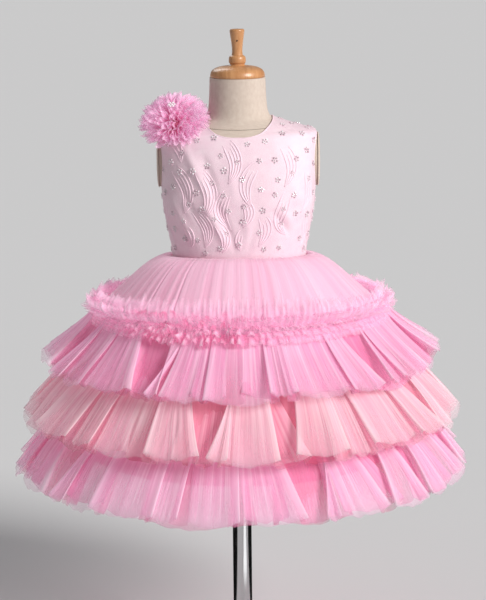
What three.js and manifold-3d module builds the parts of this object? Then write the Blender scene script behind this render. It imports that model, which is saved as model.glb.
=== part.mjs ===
// A sleeveless toddler party dress, worn by a limbless dress form on a round stand.
// Millimetres, +Z up. The wearer's front faces -Y and the wearer's right side is -X.
// The origin is the centre of the stand's flat underside.
import * as THREE from "three";
import { mergeVertices } from "three/addons/utils/BufferGeometryUtils.js";
import Module from "manifold-3d";

const wasm = await Module();
wasm.setup();

// Heights above the floor
const WAIST_Z = 551;
const BUST_Z = 628;
const GATHER_Z = 485;
const FORM_BOTTOM_Z = 430;
const NECK_TOP_Z = 779;
const SKIRT_HEM_Z = 296;

// Cloth
const BODICE_WALL = 1.8;
const BODICE_EASE = 0.6;
const TULLE_WALL = 2.6;
const LINING_WALL = 2;
const SEAM_GAP = 0.3;

// Dress form and stand
const ARM_CENTRE = { y: 1, z: 674 };
const ARM_STUB = { halfDepth: 22.5, halfHeight: 34, reach: 101 };
const ARM_PLATE = { halfDepth: 23.5, halfHeight: 35, thickness: 3 };
const POLE_RADIUS = 12.5;
const BASE = { radius: 130, thickness: 12, chamfer: 3 };
const SOCKET = { radius: 32, thickness: 5 };

// Openings in the bodice
const NECKLINE = { halfWidth: 45, front: 55.5, back: 49, frontSquareness: 3, backSquareness: 2.3 };
const ARMHOLE = { halfDepth: 27, halfHeight: 39.5 };

// The front of the waist seam sits higher than the back: rise for each millimetre of depth.
const WAIST_TILT = 0.1;

const BODY_COLUMNS = 36;
const PROBE = 0.02;

// Level sections of the dress form, from the hips to the top of the neck
const SECTION_COLUMNS = ["z", "halfWidth", "front", "back", "squareness"];
const SECTION_ROWS = [
  [430, 92, 72, 74, 2.2],
  [470, 92, 73, 75, 2.2],
  [512, 86.5, 71, 70, 2.3],
  [551, 84.2, 69, 66, 2.3],
  [590, 90, 71.5, 67, 2.4],
  [628, 95.6, 73, 69, 2.6],
  [652, 96.6, 71, 69, 2.6],
  [676, 97.6, 66.5, 67, 2.5],
  [694, 99, 60, 63, 2.4],
  [704, 99.5, 55, 58.5, 2.3],
  [709, 98.8, 52.5, 55, 2.2],
  [711, 95.4, 51, 53.2, 2.1],
  [713.5, 87.5, 49.5, 51, 2],
  [716.5, 77, 48, 48.4, 2],
  [720, 65.5, 45.6, 45.8, 2],
  [723.3, 54.5, 43, 43.2, 2],
  [726.6, 46, 40.8, 41, 2],
  [731, 40.6, 38.6, 38.8, 2],
  [740, 37.6, 37, 37, 2],
  [756, 36.2, 36, 36, 2],
  [779, 35.4, 35.4, 35.4, 2],
];
const BODY = SECTION_ROWS.map((row) => Object.fromEntries(SECTION_COLUMNS.map((name, i) => [name, row[i]])));
const WAIST_SECTION = SECTION_ROWS.find((row) => row[0] === WAIST_Z).slice(1);

// Middle line of each skirt layer, as the half width at a height, from its seam to its free edge
const UNDERSKIRT_LINE = [
  { r: 85.9, z: 550.4 },
  { r: 104, z: 541 },
  { r: 128, z: 522 },
  { r: 152, z: 502 },
  { r: 170.5, z: 483 },
  { r: 179, z: 452 },
  { r: 188, z: 396 },
  { r: 201, z: SKIRT_HEM_Z },
];
const OVERSKIRT_LINE = [
  { r: 88.6, z: 550.6 },
  { r: 100, z: 550.5 },
  { r: 121, z: 539 },
  { r: 150, z: 513.5 },
  { r: 180, z: GATHER_Z },
];
const TIER_PLEATS = 28;
const TIERS = [
  {
    name: "tier_top",
    seed: 0.4,
    line: [{ r: 183.6, z: 484.6 }, { r: 204, z: 462 }, { r: 252, z: 417 }],
  },
  {
    name: "tier_middle",
    seed: 2.1,
    line: [{ r: 186, z: 438 }, { r: 231, z: 401 }, { r: 279, z: 344 }],
  },
  {
    name: "tier_bottom",
    seed: 4.6,
    line: [{ r: 196.5, z: 368 }, { r: 248, z: 328 }, { r: 289, z: 273 }],
  },
];
const SKIRT_SHAPE = {
  waist: { r: 86, front: 0.825, back: 0.79, squareness: 2.3 },
  hem: { r: 185, front: 0.925, back: 0.925, squareness: 2 },
};
const TIER_DEPTH = { seam: 2, middle: 4.5, hem: 6 };
const TIER_RIDGE_SHARE = { seam: 0.5, hem: 0.68 };
const OVERSKIRT_PLEATS = { count: 24, seed: 1.3, depths: [0.3, 2.2, 3, 3, 2], ridgeShare: 0.55 };
const FRILL_LINE = [
  { r: 183.6, z: 485.3 },
  { r: 197.5, z: 490.5 },
  { r: 201, z: 500 },
  { r: 192, z: 510 },
];
const FRILL_WAVES = { count: 30, seed: 3.3, depths: [0.4, 3, 4.5, 6] };

const FLOWER = { x: -79, y: -18, z: 722, radius: 47, height: 34, petals: 46 };
const FLOWER_AXIS = [-0.12, -0.55, 0.83];
const FLOWER_CORE = { radius: 38, height: 26, skirt: 7 };
const PETAL = { root: 14, width: 10, thickness: 4, firstTilt: 7, lastTilt: 83 };
const GOLDEN_ANGLE = Math.PI * (3 - Math.sqrt(5));

const ZIP = { z: 709, halfWidth: 2.4, height: 7, thickness: 1.65, bar: 4, barRadius: 0.6, leg: 0.7 };
const PULL = { eye: 0.95, barrel: 1.6, barrelHalf: 1.35, length: 16, halfWidth: 2.6, thickness: 1 };
const PULL_TILT_DEGREES = -17;

const lerp = THREE.MathUtils.lerp;
const clamp01 = (value) => THREE.MathUtils.clamp(value, 0, 1);

// Value of one column of a table at a height, on a smooth line with no overshoot
function smoothAt(rows, column, z) {
  const last = rows.length - 1;
  if (z <= rows[0].z) return rows[0][column];
  if (z >= rows[last].z) return rows[last][column];
  const slope = (i) => (rows[i + 1][column] - rows[i][column]) / (rows[i + 1].z - rows[i].z);
  const tangent = (i) => {
    if (i === 0) return slope(0);
    if (i === last) return slope(last - 1);
    const before = slope(i - 1);
    const after = slope(i);
    return before * after <= 0 ? 0 : (2 * before * after) / (before + after);
  };
  let i = 0;
  while (z > rows[i + 1].z) i += 1;
  const step = rows[i + 1].z - rows[i].z;
  const t = (z - rows[i].z) / step;
  const [t2, t3] = [t * t, t * t * t];
  return (
    (2 * t3 - 3 * t2 + 1) * rows[i][column] +
    (t3 - 2 * t2 + t) * step * tangent(i) +
    (3 * t2 - 2 * t3) * rows[i + 1][column] +
    (t3 - t2) * step * tangent(i + 1)
  );
}

// A point of a closed ring with flattened sides: angle 0 is +X, and -90 degrees is the front
function ringPoint(angle, halfWidth, front, back, squareness) {
  const power = 2 / squareness;
  const [c, s] = [Math.cos(angle), Math.sin(angle)];
  const depth = s < 0 ? front : back;
  return [
    Math.sign(c) * halfWidth * Math.abs(c) ** power,
    Math.sign(s) * depth * Math.abs(s) ** power,
  ];
}

// How much a row of the body is tilted at a height: all of it at the waist, none by the bust
function tiltShare(z) {
  return 1 - clamp01(Math.abs(z - WAIST_Z) / (BUST_Z - WAIST_Z));
}

function bodyPoint(angle, rowZ) {
  const flat = ringPoint(angle, ...WAIST_SECTION);
  const z = rowZ - WAIST_TILT * flat[1] * tiltShare(rowZ);
  const [x, y] = ringPoint(
    angle,
    ...SECTION_COLUMNS.slice(1).map((column) => smoothAt(BODY, column, z)),
  );
  return new THREE.Vector3(x, y, z);
}

function bodyNormal(angle, rowZ) {
  const across = bodyPoint(angle + PROBE, rowZ).sub(bodyPoint(angle - PROBE, rowZ));
  const up = bodyPoint(angle, rowZ + 0.8).sub(bodyPoint(angle, rowZ - 0.8));
  return across.cross(up).normalize();
}

function bodyOffset(angle, rowZ, offset) {
  return bodyPoint(angle, rowZ).addScaledVector(bodyNormal(angle, rowZ), offset);
}

// Rings of points that go round the part, as one closed skin with a flat fan at each end
function loftSolid(rings) {
  const columns = rings[0].length;
  const points = rings.flat();
  const faces = [];
  for (let r = 0; r + 1 < rings.length; r += 1) {
    for (let c = 0; c < columns; c += 1) {
      const [a, b] = [r * columns + c, r * columns + ((c + 1) % columns)];
      faces.push([a, b, b + columns], [a, b + columns, a + columns]);
    }
  }
  const addCap = (ring, start, facesUp) => {
    const centre = ring.reduce((sum, p) => sum.add(p), new THREE.Vector3()).divideScalar(columns);
    const hub = points.push(centre) - 1;
    for (let c = 0; c < columns; c += 1) {
      const [a, b] = [start + c, start + ((c + 1) % columns)];
      faces.push(facesUp ? [hub, a, b] : [hub, b, a]);
    }
  };
  addCap(rings[0], 0, false);
  addCap(rings.at(-1), (rings.length - 1) * columns, true);
  return geometryOf(points, faces);
}

// Rings of outer and inner points, as one closed wall with a rim at each end
function wallSolid(outer, inner) {
  const columns = outer[0].length;
  const points = [...outer.flat(), ...inner.flat()];
  const faces = [];
  const at = (side, row, column) => (side * outer.length + row) * columns + (column % columns);
  const quad = (a, b, c, d) => faces.push([a, b, c], [a, c, d]);
  for (let c = 0; c < columns; c += 1) {
    for (let r = 0; r + 1 < outer.length; r += 1) {
      quad(at(0, r, c), at(0, r + 1, c), at(0, r + 1, c + 1), at(0, r, c + 1));
      quad(at(1, r, c), at(1, r, c + 1), at(1, r + 1, c + 1), at(1, r + 1, c));
    }
    const last = outer.length - 1;
    quad(at(0, 0, c), at(0, 0, c + 1), at(1, 0, c + 1), at(1, 0, c));
    quad(at(0, last, c), at(1, last, c), at(1, last, c + 1), at(0, last, c + 1));
  }
  return geometryOf(points, faces);
}

function geometryOf(points, faces) {
  const geometry = new THREE.BufferGeometry();
  const numbers = points.flatMap((p) => [p.x, p.y, p.z]);
  geometry.setAttribute("position", new THREE.Float32BufferAttribute(numbers, 3));
  geometry.setIndex(faces.flat());
  return geometry;
}

// A closed geometry as a solid that can be joined and cut, and back again
function solidOf(geometry) {
  const bare = geometry.clone();
  bare.deleteAttribute("normal");
  bare.deleteAttribute("uv");
  const merged = mergeVertices(bare, 1e-4);
  return new wasm.Manifold(
    new wasm.Mesh({
      numProp: 3,
      vertProperties: new Float32Array(merged.attributes.position.array),
      triVerts: new Uint32Array(merged.index.array),
    }),
  );
}

function geometryFrom(solid) {
  const mesh = solid.getMesh();
  const geometry = new THREE.BufferGeometry();
  geometry.setAttribute("position", new THREE.Float32BufferAttribute(mesh.vertProperties, mesh.numProp));
  geometry.setIndex(Array.from(mesh.triVerts));
  return geometry;
}

function boxBetween(low, high) {
  const size = high.map((value, i) => value - low[i]);
  const middle = high.map((value, i) => (value + low[i]) / 2);
  return new THREE.BoxGeometry(...size).translate(...middle);
}

// A prism with an oval section that lies along the arms
function ovalAlongX(halfDepth, halfHeight, fromX, toX, sides = 28) {
  const prism = new THREE.CylinderGeometry(1, 1, toX - fromX, sides).rotateZ(Math.PI / 2);
  return prism.scale(1, halfDepth, halfHeight).translate((fromX + toX) / 2, ARM_CENTRE.y, ARM_CENTRE.z);
}

// Uneven pleats round a layer: the middle and width of each, and how far it stands out
function pleatsOf(count, seed) {
  const shares = Array.from({ length: count }, (_, i) => {
    return 1 + 0.3 * Math.sin(2.3 * i + seed) + 0.18 * Math.sin(4.1 * i + 2 * seed);
  });
  const total = shares.reduce((sum, share) => sum + share, 0);
  let start = 0;
  return shares.map((share, i) => {
    const width = (share / total) * 2 * Math.PI;
    const pleat = { middle: start + width / 2, width, height: 0.85 + 0.15 * Math.sin(3.7 * i + seed) };
    start += width;
    return pleat;
  });
}

// Four columns for each pleat: both edges of its ridge, then both edges of the valley beside it
function pleatColumns(pleats, ridgeShare) {
  return pleats.flatMap(({ middle, width, height }) => {
    const ridge = (width * ridgeShare) / 2;
    const valley = width * (1 - ridgeShare);
    return [
      { angle: middle - ridge, lift: height },
      { angle: middle + ridge, lift: height },
      { angle: middle + ridge + 0.4 * valley, lift: -height },
      { angle: middle + ridge + 0.6 * valley, lift: -height },
    ];
  });
}

// A skirt ring is flatter at the waist, where it follows the body, than from the gathering line down
function skirtPoint(angle, r, z) {
  const share = clamp01((r - SKIRT_SHAPE.waist.r) / (SKIRT_SHAPE.hem.r - SKIRT_SHAPE.waist.r));
  const blend = (key) => lerp(SKIRT_SHAPE.waist[key], SKIRT_SHAPE.hem[key], share);
  const [x, y] = ringPoint(angle, r, r * blend("front"), r * blend("back"), blend("squareness"));
  const tilt = WAIST_TILT * clamp01((z - GATHER_Z) / (WAIST_Z - GATHER_Z));
  return new THREE.Vector3(x, y, z - tilt * y);
}

function runsUp(line) {
  return line.at(-1).z > line[0].z;
}

// Outward direction of a layer's line at a row, level at its seam
function lineNormal(line, row) {
  if (row === 0) return { r: 1, z: 0 };
  const [before, after] = [line[row - 1], line[Math.min(row + 1, line.length - 1)]];
  const [dr, dz] = [after.r - before.r, after.z - before.z];
  const length = Math.hypot(dr, dz) * (runsUp(line) ? -1 : 1);
  return { r: -dz / length, z: dr / length };
}

// A ring wall round a layer's line, whose columns stand in or out by their lift
function skirtWall(line, columnsAt, depthAt, wall) {
  const side = (sign) =>
    line.map((point, row) => {
      const normal = lineNormal(line, row);
      return columnsAt(row).map(({ angle, lift }) => {
        const out = lift * depthAt(row) + (sign * wall) / 2;
        return skirtPoint(angle, point.r + normal.r * out, point.z + normal.z * out);
      });
    });
  return runsUp(line) ? wallSolid(side(-1), side(1)) : wallSolid(side(1), side(-1));
}

function evenColumns(count) {
  return Array.from({ length: count }, (_, i) => ({ angle: (i / count) * 2 * Math.PI, lift: 0 }));
}

const part = new THREE.Group();

function addNode(name, geometry, material) {
  const mesh = new THREE.Mesh(geometry, material);
  mesh.name = name;
  part.add(mesh);
  return mesh;
}

function finish(color, roughness, metalness = 0) {
  return new THREE.MeshStandardMaterial({ color, roughness, metalness });
}
const palePinkSatin = finish(0xf6dde8, 0.45);
const orchidTulle = finish(0xf0a8d2, 0.8);
const peachTulle = finish(0xf7c3cc, 0.8);
const blushTulle = finish(0xf6bcd8, 0.8);
const roseLining = finish(0xe58aa4, 0.5);
const creamLinen = finish(0xe0ccbe, 0.8);
const beech = finish(0xd99a62, 0.45);
const chrome = finish(0xc8c8c8, 0.15, 1);

// Dress form: torso with arm stubs, arm plates and a turned wooden neck cap
const bodyRows = BODY.map((row) => row.z);
const columnAngles = evenColumns(BODY_COLUMNS).map((column) => column.angle);

function bodyRings(rows, offset) {
  return rows.map((z) => columnAngles.map((angle) => bodyOffset(angle, z, offset)));
}

function buildTorso() {
  const rings = bodyRings(bodyRows, 0);
  rings[0].forEach((point) => point.setZ(FORM_BOTTOM_Z));
  rings.at(-1).forEach((point) => point.setZ(NECK_TOP_Z));
  const { halfDepth, halfHeight, reach } = ARM_STUB;
  const stubs = solidOf(ovalAlongX(halfDepth, halfHeight, -reach, reach));
  return geometryFrom(solidOf(loftSolid(rings)).add(stubs));
}

function buildNeckCap() {
  const profile = [
    [0, 0], [34.2, 0], [34.7, 2.5], [33.4, 7], [28.5, 11], [20, 13.6], [10.2, 14.3],
    [10.6, 18.5], [10.8, 22], [9.6, 25.6], [7.4, 27.2],
    [6.6, 31], [7.1, 40], [9.3, 57.5], [8.8, 59.6], [0, 60.4],
  ];
  const turned = new THREE.LatheGeometry(profile.map(([r, z]) => new THREE.Vector2(r, z)), 24);
  turned.rotateX(Math.PI / 2).translate(0, 0, NECK_TOP_Z + SEAM_GAP);
  const pinHole = new THREE.CylinderGeometry(1.1, 1.1, 8, 10).translate(0, -8, NECK_TOP_Z + 46);
  return geometryFrom(solidOf(turned).subtract(solidOf(pinHole)));
}

function buildArmPlate(side) {
  const { halfDepth, halfHeight, thickness } = ARM_PLATE;
  const start = side * (ARM_STUB.reach + SEAM_GAP);
  const end = side * (ARM_STUB.reach + SEAM_GAP + thickness);
  return ovalAlongX(halfDepth, halfHeight, Math.min(start, end), Math.max(start, end));
}

// Stand: a weighted round foot, a tube and a socket under the torso
function buildStand() {
  const { radius, thickness, chamfer } = BASE;
  const foot = [
    [0, 0], [radius - 1, 0], [radius, 1],
    [radius, thickness - chamfer], [radius - chamfer, thickness], [0, thickness],
  ];
  const disc = new THREE.LatheGeometry(foot.map(([r, z]) => new THREE.Vector2(r, z)), 40);
  addNode("stand_foot", disc.rotateX(Math.PI / 2), chrome);
  const socketLow = FORM_BOTTOM_Z - SEAM_GAP - SOCKET.thickness;
  addNode("stand_pole", uprightTube(POLE_RADIUS, thickness + SEAM_GAP, socketLow - SEAM_GAP), chrome);
  addNode("stand_socket", uprightTube(SOCKET.radius, socketLow, socketLow + SOCKET.thickness), chrome);
}

function uprightTube(radius, low, high) {
  const tube = new THREE.CylinderGeometry(radius, radius, high - low, 28).rotateX(Math.PI / 2);
  return tube.translate(0, 0, (low + high) / 2);
}

// Bodice: one shell over the form, opened at the neck, the arms and the waist, and cut at its seams
function ovalNeckPrism() {
  const outline = new THREE.Shape(
    Array.from({ length: 36 }, (_, i) => {
      const angle = (i / 36) * 2 * Math.PI;
      const { halfWidth, front, back, frontSquareness, backSquareness } = NECKLINE;
      const squareness = Math.sin(angle) < 0 ? frontSquareness : backSquareness;
      return new THREE.Vector2(...ringPoint(angle, halfWidth, front, back, squareness));
    }),
  );
  const prism = new THREE.ExtrudeGeometry(outline, { depth: 200, bevelEnabled: false });
  return prism.translate(0, 0, BUST_Z + 40);
}

function buildBodice() {
  const rows = [WAIST_Z, ...bodyRows.filter((z) => z > WAIST_Z && z < 745)];
  const shell = solidOf(loftSolid(bodyRings(rows, BODICE_EASE + BODICE_WALL)));
  const innerRings = bodyRings([WAIST_Z, ...rows.slice(1), 745], BODICE_EASE);
  innerRings[0].forEach((point) => (point.z -= 5));
  innerRings.at(-1).forEach((point) => (point.z += 60));
  let bodice = shell.subtract(solidOf(loftSolid(innerRings))).subtract(solidOf(ovalNeckPrism()));
  for (const side of [-1, 1]) {
    const [from, to] = [side * 60, side * 160].sort((a, b) => a - b);
    bodice = bodice.subtract(solidOf(ovalAlongX(ARMHOLE.halfDepth, ARMHOLE.halfHeight, from, to, 36)));
  }
  const half = SEAM_GAP / 2;
  const far = 300;
  const pieces = {
    bodice_front: boxBetween([-far, -far, 0], [far, -half, 900]),
    bodice_back_right: boxBetween([-far, half, 0], [-half, far, 900]),
    bodice_back_left: boxBetween([half, half, 0], [far, far, 900]),
  };
  for (const [name, box] of Object.entries(pieces)) {
    addNode(name, geometryFrom(bodice.intersect(solidOf(box))), palePinkSatin);
  }
}

// Skirt: lining, gathered overskirt, three ruffled tiers and the frill that stands above the top one
function buildSkirt() {
  const plain = evenColumns(BODY_COLUMNS);
  addNode("underskirt", skirtWall(UNDERSKIRT_LINE, () => plain, () => 0, LINING_WALL), roseLining);
  const gathers = pleatsOf(OVERSKIRT_PLEATS.count, OVERSKIRT_PLEATS.seed);
  const overskirt = skirtWall(
    OVERSKIRT_LINE,
    () => pleatColumns(gathers, OVERSKIRT_PLEATS.ridgeShare),
    (row) => OVERSKIRT_PLEATS.depths[row],
    LINING_WALL,
  );
  addNode("overskirt", overskirt, blushTulle);
  for (const { name, seed, line } of TIERS) {
    const pleats = pleatsOf(TIER_PLEATS, seed);
    const ridgeShare = (row) => lerp(TIER_RIDGE_SHARE.seam, TIER_RIDGE_SHARE.hem, row / (line.length - 1));
    const columns = (row) => pleatColumns(pleats, ridgeShare(row));
    const depth = (row) => [TIER_DEPTH.seam, TIER_DEPTH.middle, TIER_DEPTH.hem][row];
    const net = name === "tier_middle" ? peachTulle : orchidTulle;
    addNode(name, skirtWall(line, columns, depth, TULLE_WALL), net);
  }
}

// The frill puffs out above the gathering line, and its free edge waves in and out
function buildFrill() {
  const { count, seed, depths } = FRILL_WAVES;
  const columns = pleatsOf(count, seed).flatMap(({ middle, width, height }) => [
    { angle: middle - width / 2, lift: 0 },
    { angle: middle - width / 6, lift: height },
    { angle: middle + width / 6, lift: -height },
  ]);
  const frill = skirtWall(FRILL_LINE, () => columns, (row) => depths[row], LINING_WALL);
  addNode("frill", frill, orchidTulle);
}

// Tulle flower: a low core with petals that spread from it over a dome, hollowed to sit on the shoulder
function buildFlower() {
  const axis = new THREE.Vector3(...FLOWER_AXIS).normalize();
  const turn = new THREE.Quaternion().setFromUnitVectors(new THREE.Vector3(0, 0, 1), axis);
  const { radius, height, skirt } = FLOWER_CORE;
  let bloom = solidOf(new THREE.SphereGeometry(1, 14, 8).scale(radius, radius, height));
  for (let i = 0; i < FLOWER.petals; i += 1) {
    const share = Math.sqrt((i + 0.5) / FLOWER.petals);
    const tilt = THREE.MathUtils.degToRad(lerp(PETAL.firstTilt, PETAL.lastTilt, share));
    const unevenness = 0.97 + 0.04 * Math.sin(5 * i);
    const reach = unevenness * Math.hypot(FLOWER.radius * Math.sin(tilt), FLOWER.height * Math.cos(tilt));
    bloom = bloom.add(solidOf(petalSolid(reach).rotateY(tilt).rotateZ(i * GOLDEN_ANGLE)));
  }
  const reachBox = boxBetween([-90, -90, -skirt], [90, 90, 90]);
  const placed = geometryFrom(bloom.intersect(solidOf(reachBox))).applyQuaternion(turn);
  placed.translate(FLOWER.x, FLOWER.y, FLOWER.z);
  const clearance = BODICE_EASE + BODICE_WALL + SEAM_GAP;
  const shoulder = solidOf(loftSolid(bodyRings(bodyRows.filter((z) => z > BUST_Z), clearance)));
  addNode("flower", geometryFrom(solidOf(placed).subtract(shoulder)), orchidTulle);
}

// One petal along +Z, a four-sided lock that widens to its tip
function petalSolid(reach) {
  const corners = [[-1, -1], [1, -1], [1, 1], [-1, 1]];
  const ring = (z, width, thickness) => {
    return corners.map(([u, v]) => new THREE.Vector3((v * thickness) / 2, (-u * width) / 2, z));
  };
  const root = ring(PETAL.root, 2.4, 2.2);
  const widest = ring(reach * 0.86, PETAL.width, PETAL.thickness);
  const tip = ring(reach, PETAL.width * 0.6, 1.6);
  return loftSolid([root, widest, tip]);
}

// Concealed zip: only its slider and pull show, at the top of the centre back seam
function buildZip() {
  const angle = Math.PI / 2;
  const foot = bodyOffset(angle, ZIP.z, BODICE_EASE + BODICE_WALL + 0.05);
  const normal = bodyNormal(angle, ZIP.z);
  const slope = Math.atan2(normal.z, normal.y);
  const zip = new THREE.Group();
  zip.position.copy(foot);
  zip.rotation.x = slope;
  part.add(zip);
  const { halfWidth, height, thickness, bar, barRadius, leg } = ZIP;
  const body = boxBetween([-halfWidth, SEAM_GAP, -height / 2], [halfWidth, SEAM_GAP + thickness, height / 2]);
  let slider = solidOf(body);
  for (const side of [-1, 1]) {
    const [from, to] = [side * halfWidth, side * (halfWidth - leg)].sort((a, b) => a - b);
    slider = slider.add(solidOf(boxBetween([from, 1, -leg], [to, bar + leg, leg])));
  }
  const rod = new THREE.CylinderGeometry(barRadius, barRadius, 2 * halfWidth - leg, 12).rotateZ(Math.PI / 2);
  slider = slider.add(solidOf(rod.translate(0, bar, 0)));
  const barrel = new THREE.CylinderGeometry(PULL.barrel, PULL.barrel, 2 * PULL.barrelHalf, 16);
  const eye = new THREE.CylinderGeometry(PULL.eye, PULL.eye, 10, 16);
  const outline = new THREE.Shape();
  const tipCentre = -PULL.length + PULL.halfWidth;
  outline.moveTo(PULL.barrelHalf, -1);
  outline.lineTo(-PULL.barrelHalf, -1);
  outline.lineTo(-PULL.barrelHalf, -4.4);
  outline.lineTo(-PULL.halfWidth, tipCentre);
  outline.absarc(0, tipCentre, PULL.halfWidth, Math.PI, 2 * Math.PI, false);
  outline.lineTo(PULL.barrelHalf, -4.4);
  const tabShape = { depth: PULL.thickness, bevelEnabled: false, curveSegments: 6 };
  const tab = new THREE.ExtrudeGeometry(outline, tabShape);
  tab.rotateX(Math.PI / 2).translate(0, PULL.thickness / 2, 0);
  barrel.rotateZ(Math.PI / 2);
  eye.rotateZ(Math.PI / 2);
  const pull = solidOf(barrel).add(solidOf(tab)).subtract(solidOf(eye));
  zip.add(addNode("zip_slider", geometryFrom(slider), chrome));
  const hangingPull = addNode("zip_pull", geometryFrom(pull), chrome);
  hangingPull.position.y = bar;
  hangingPull.rotation.x = THREE.MathUtils.degToRad(PULL_TILT_DEGREES);
  zip.add(hangingPull);
}

addNode("form_torso", buildTorso(), creamLinen);
addNode("form_neck_cap", buildNeckCap(), beech);
addNode("form_arm_plate_right", buildArmPlate(-1), creamLinen);
addNode("form_arm_plate_left", buildArmPlate(1), creamLinen);
buildStand();
buildBodice();
buildSkirt();
buildFrill();
buildFlower();
buildZip();

export default part;
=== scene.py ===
# %% [markdown]
# A toddler's party dress on a dress form.
#
# The construction is already fixed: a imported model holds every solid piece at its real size. This
# lesson dresses it. Hard pieces get a finer mesh and a finish, and each piece of cloth is made again
# as a thin sheet with its real folds, in the place that its plain solid holds.
#
# We start by loading that model. Everything is in metres, +Z is up and the wearer's front faces -Y.

# %% Load the fixed model
import math

import bpy
import numpy as np
from mathutils import Euler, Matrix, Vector


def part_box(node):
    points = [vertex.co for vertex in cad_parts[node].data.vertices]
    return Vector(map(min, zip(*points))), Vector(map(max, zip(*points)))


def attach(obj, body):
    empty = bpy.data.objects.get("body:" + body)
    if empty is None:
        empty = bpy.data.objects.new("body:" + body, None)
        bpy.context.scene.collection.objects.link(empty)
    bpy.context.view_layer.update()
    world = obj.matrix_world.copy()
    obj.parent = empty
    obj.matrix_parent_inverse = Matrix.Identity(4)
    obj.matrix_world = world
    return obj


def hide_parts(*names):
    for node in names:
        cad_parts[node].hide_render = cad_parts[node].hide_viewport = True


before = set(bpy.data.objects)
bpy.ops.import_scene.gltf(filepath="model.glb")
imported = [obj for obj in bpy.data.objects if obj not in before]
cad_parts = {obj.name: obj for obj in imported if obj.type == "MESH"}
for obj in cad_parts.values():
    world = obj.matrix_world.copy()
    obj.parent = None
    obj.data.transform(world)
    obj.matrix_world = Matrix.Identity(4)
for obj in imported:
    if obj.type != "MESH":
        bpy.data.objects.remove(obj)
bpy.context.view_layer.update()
MM = 0.001
TAU = 2 * math.pi

# %% [markdown]
# The camera stands 2.45 m in front of the dress and looks down by 12 degrees, as a photographer
# would with a short telephoto lens. Its height and distance were worked out from the ovals of the
# hems. The tiny roll is the photographer's own, because the stand leans a little in the picture.

# %% Camera
IMAGE = (486, 600)
FOCAL_PIXELS = 1885
AIM = Vector((0, 0, 0.490))
AIM_PIXEL_X = 239.8
DISTANCE = 2.45
PITCH = math.radians(12)
ROLL = math.radians(0.6)
SENSOR = 36

camera_data = bpy.data.cameras.new("photo_camera")
camera = bpy.data.objects.new("photo_camera", camera_data)
bpy.context.scene.collection.objects.link(camera)
camera_data.sensor_width = SENSOR
camera_data.lens = SENSOR * FOCAL_PIXELS / max(IMAGE)
camera_data.shift_x = (IMAGE[0] / 2 - AIM_PIXEL_X) / max(IMAGE)
camera.location = AIM + DISTANCE * Vector((0, -math.cos(PITCH), math.sin(PITCH)))
looking = Euler((math.pi / 2 - PITCH, 0, 0)).to_quaternion()
camera.rotation_euler = (looking @ Euler((0, 0, -ROLL)).to_quaternion()).to_euler()
bpy.context.scene.camera = camera
print("lens in mm:", round(camera_data.lens, 1))

# %% [markdown]
# A large soft light from the right of the camera gives the bright side, a weak one from behind lifts
# the edges, and pale surroundings fill in the shade. Sun lamps with a wide angle light the floor
# evenly, so it runs into a background of the same pale grey. Polished metal shows only what stands
# around it, so two dark cards and a narrow bright one lie on the floor, where nothing but its
# reflections can see them. Thin net needs many see-through steps before a ray may stop, so that
# limit is raised.

# %% Floor and light
BACKDROP_GREY = 0.61
bpy.ops.mesh.primitive_plane_add(size=60, location=(0, 0, 0))
floor = bpy.context.object
floor.name = "floor"


def matt_paint(name, colour, brightness=0.0):
    """A paint with no gloss, which may glow."""
    paint = bpy.data.materials.new(name)
    paint.use_nodes = True
    shader = paint.node_tree.nodes["Principled BSDF"]
    shader.inputs["Base Color"].default_value = (*colour, 1)
    shader.inputs["Roughness"].default_value = 1.0
    shader.inputs["Specular IOR Level"].default_value = 0.0
    shader.inputs["Emission Color"].default_value = (1, 1, 1, 1)
    shader.inputs["Emission Strength"].default_value = brightness
    return paint


floor.data.materials.append(matt_paint("floor_paint", (0.7, 0.7, 0.705)))


def soft_light(name, towards, strength, angle, tint):
    lamp = bpy.data.lights.new(name, "SUN")
    lamp.energy = strength
    lamp.angle = math.radians(angle)
    lamp.color = tint
    holder = bpy.data.objects.new(name, lamp)
    bpy.context.scene.collection.objects.link(holder)
    holder.rotation_euler = Vector(towards).to_track_quat("-Z", "Y").to_euler()


soft_light("key_light", (-1.75, 1.4, -1.2), 3.3, 24, (1, 0.985, 0.97))
soft_light("back_light", (0.9, -1.9, -1.5), 0.7, 30, (1, 1, 1))
CARDS = [
    # azimuth from the camera in degrees, width across it, nearest and furthest distance, brightness
    (-134, 2.4, 0.14, 1.3, 0.0),
    (148, 2.4, 0.14, 1.3, 0.0),
    (32, 0.26, 0.3, 1.3, 1.5),
]
for azimuth, width, near, far, brightness in CARDS:
    turned_by, away = math.radians(azimuth), (near + far) / 2
    bpy.ops.mesh.primitive_plane_add(
        size=1, rotation=(0, 0, turned_by),
        location=(away * math.sin(turned_by), -away * math.cos(turned_by), 0.001 + 0.001 * brightness))
    card = bpy.context.object
    card.name = "studio_card"
    card.scale = (width, far - near, 1)
    card.visible_camera = card.visible_diffuse = card.visible_shadow = card.visible_transmission = False
    card.data.materials.append(matt_paint("card_paint", (0.01, 0.01, 0.01), brightness))

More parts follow.
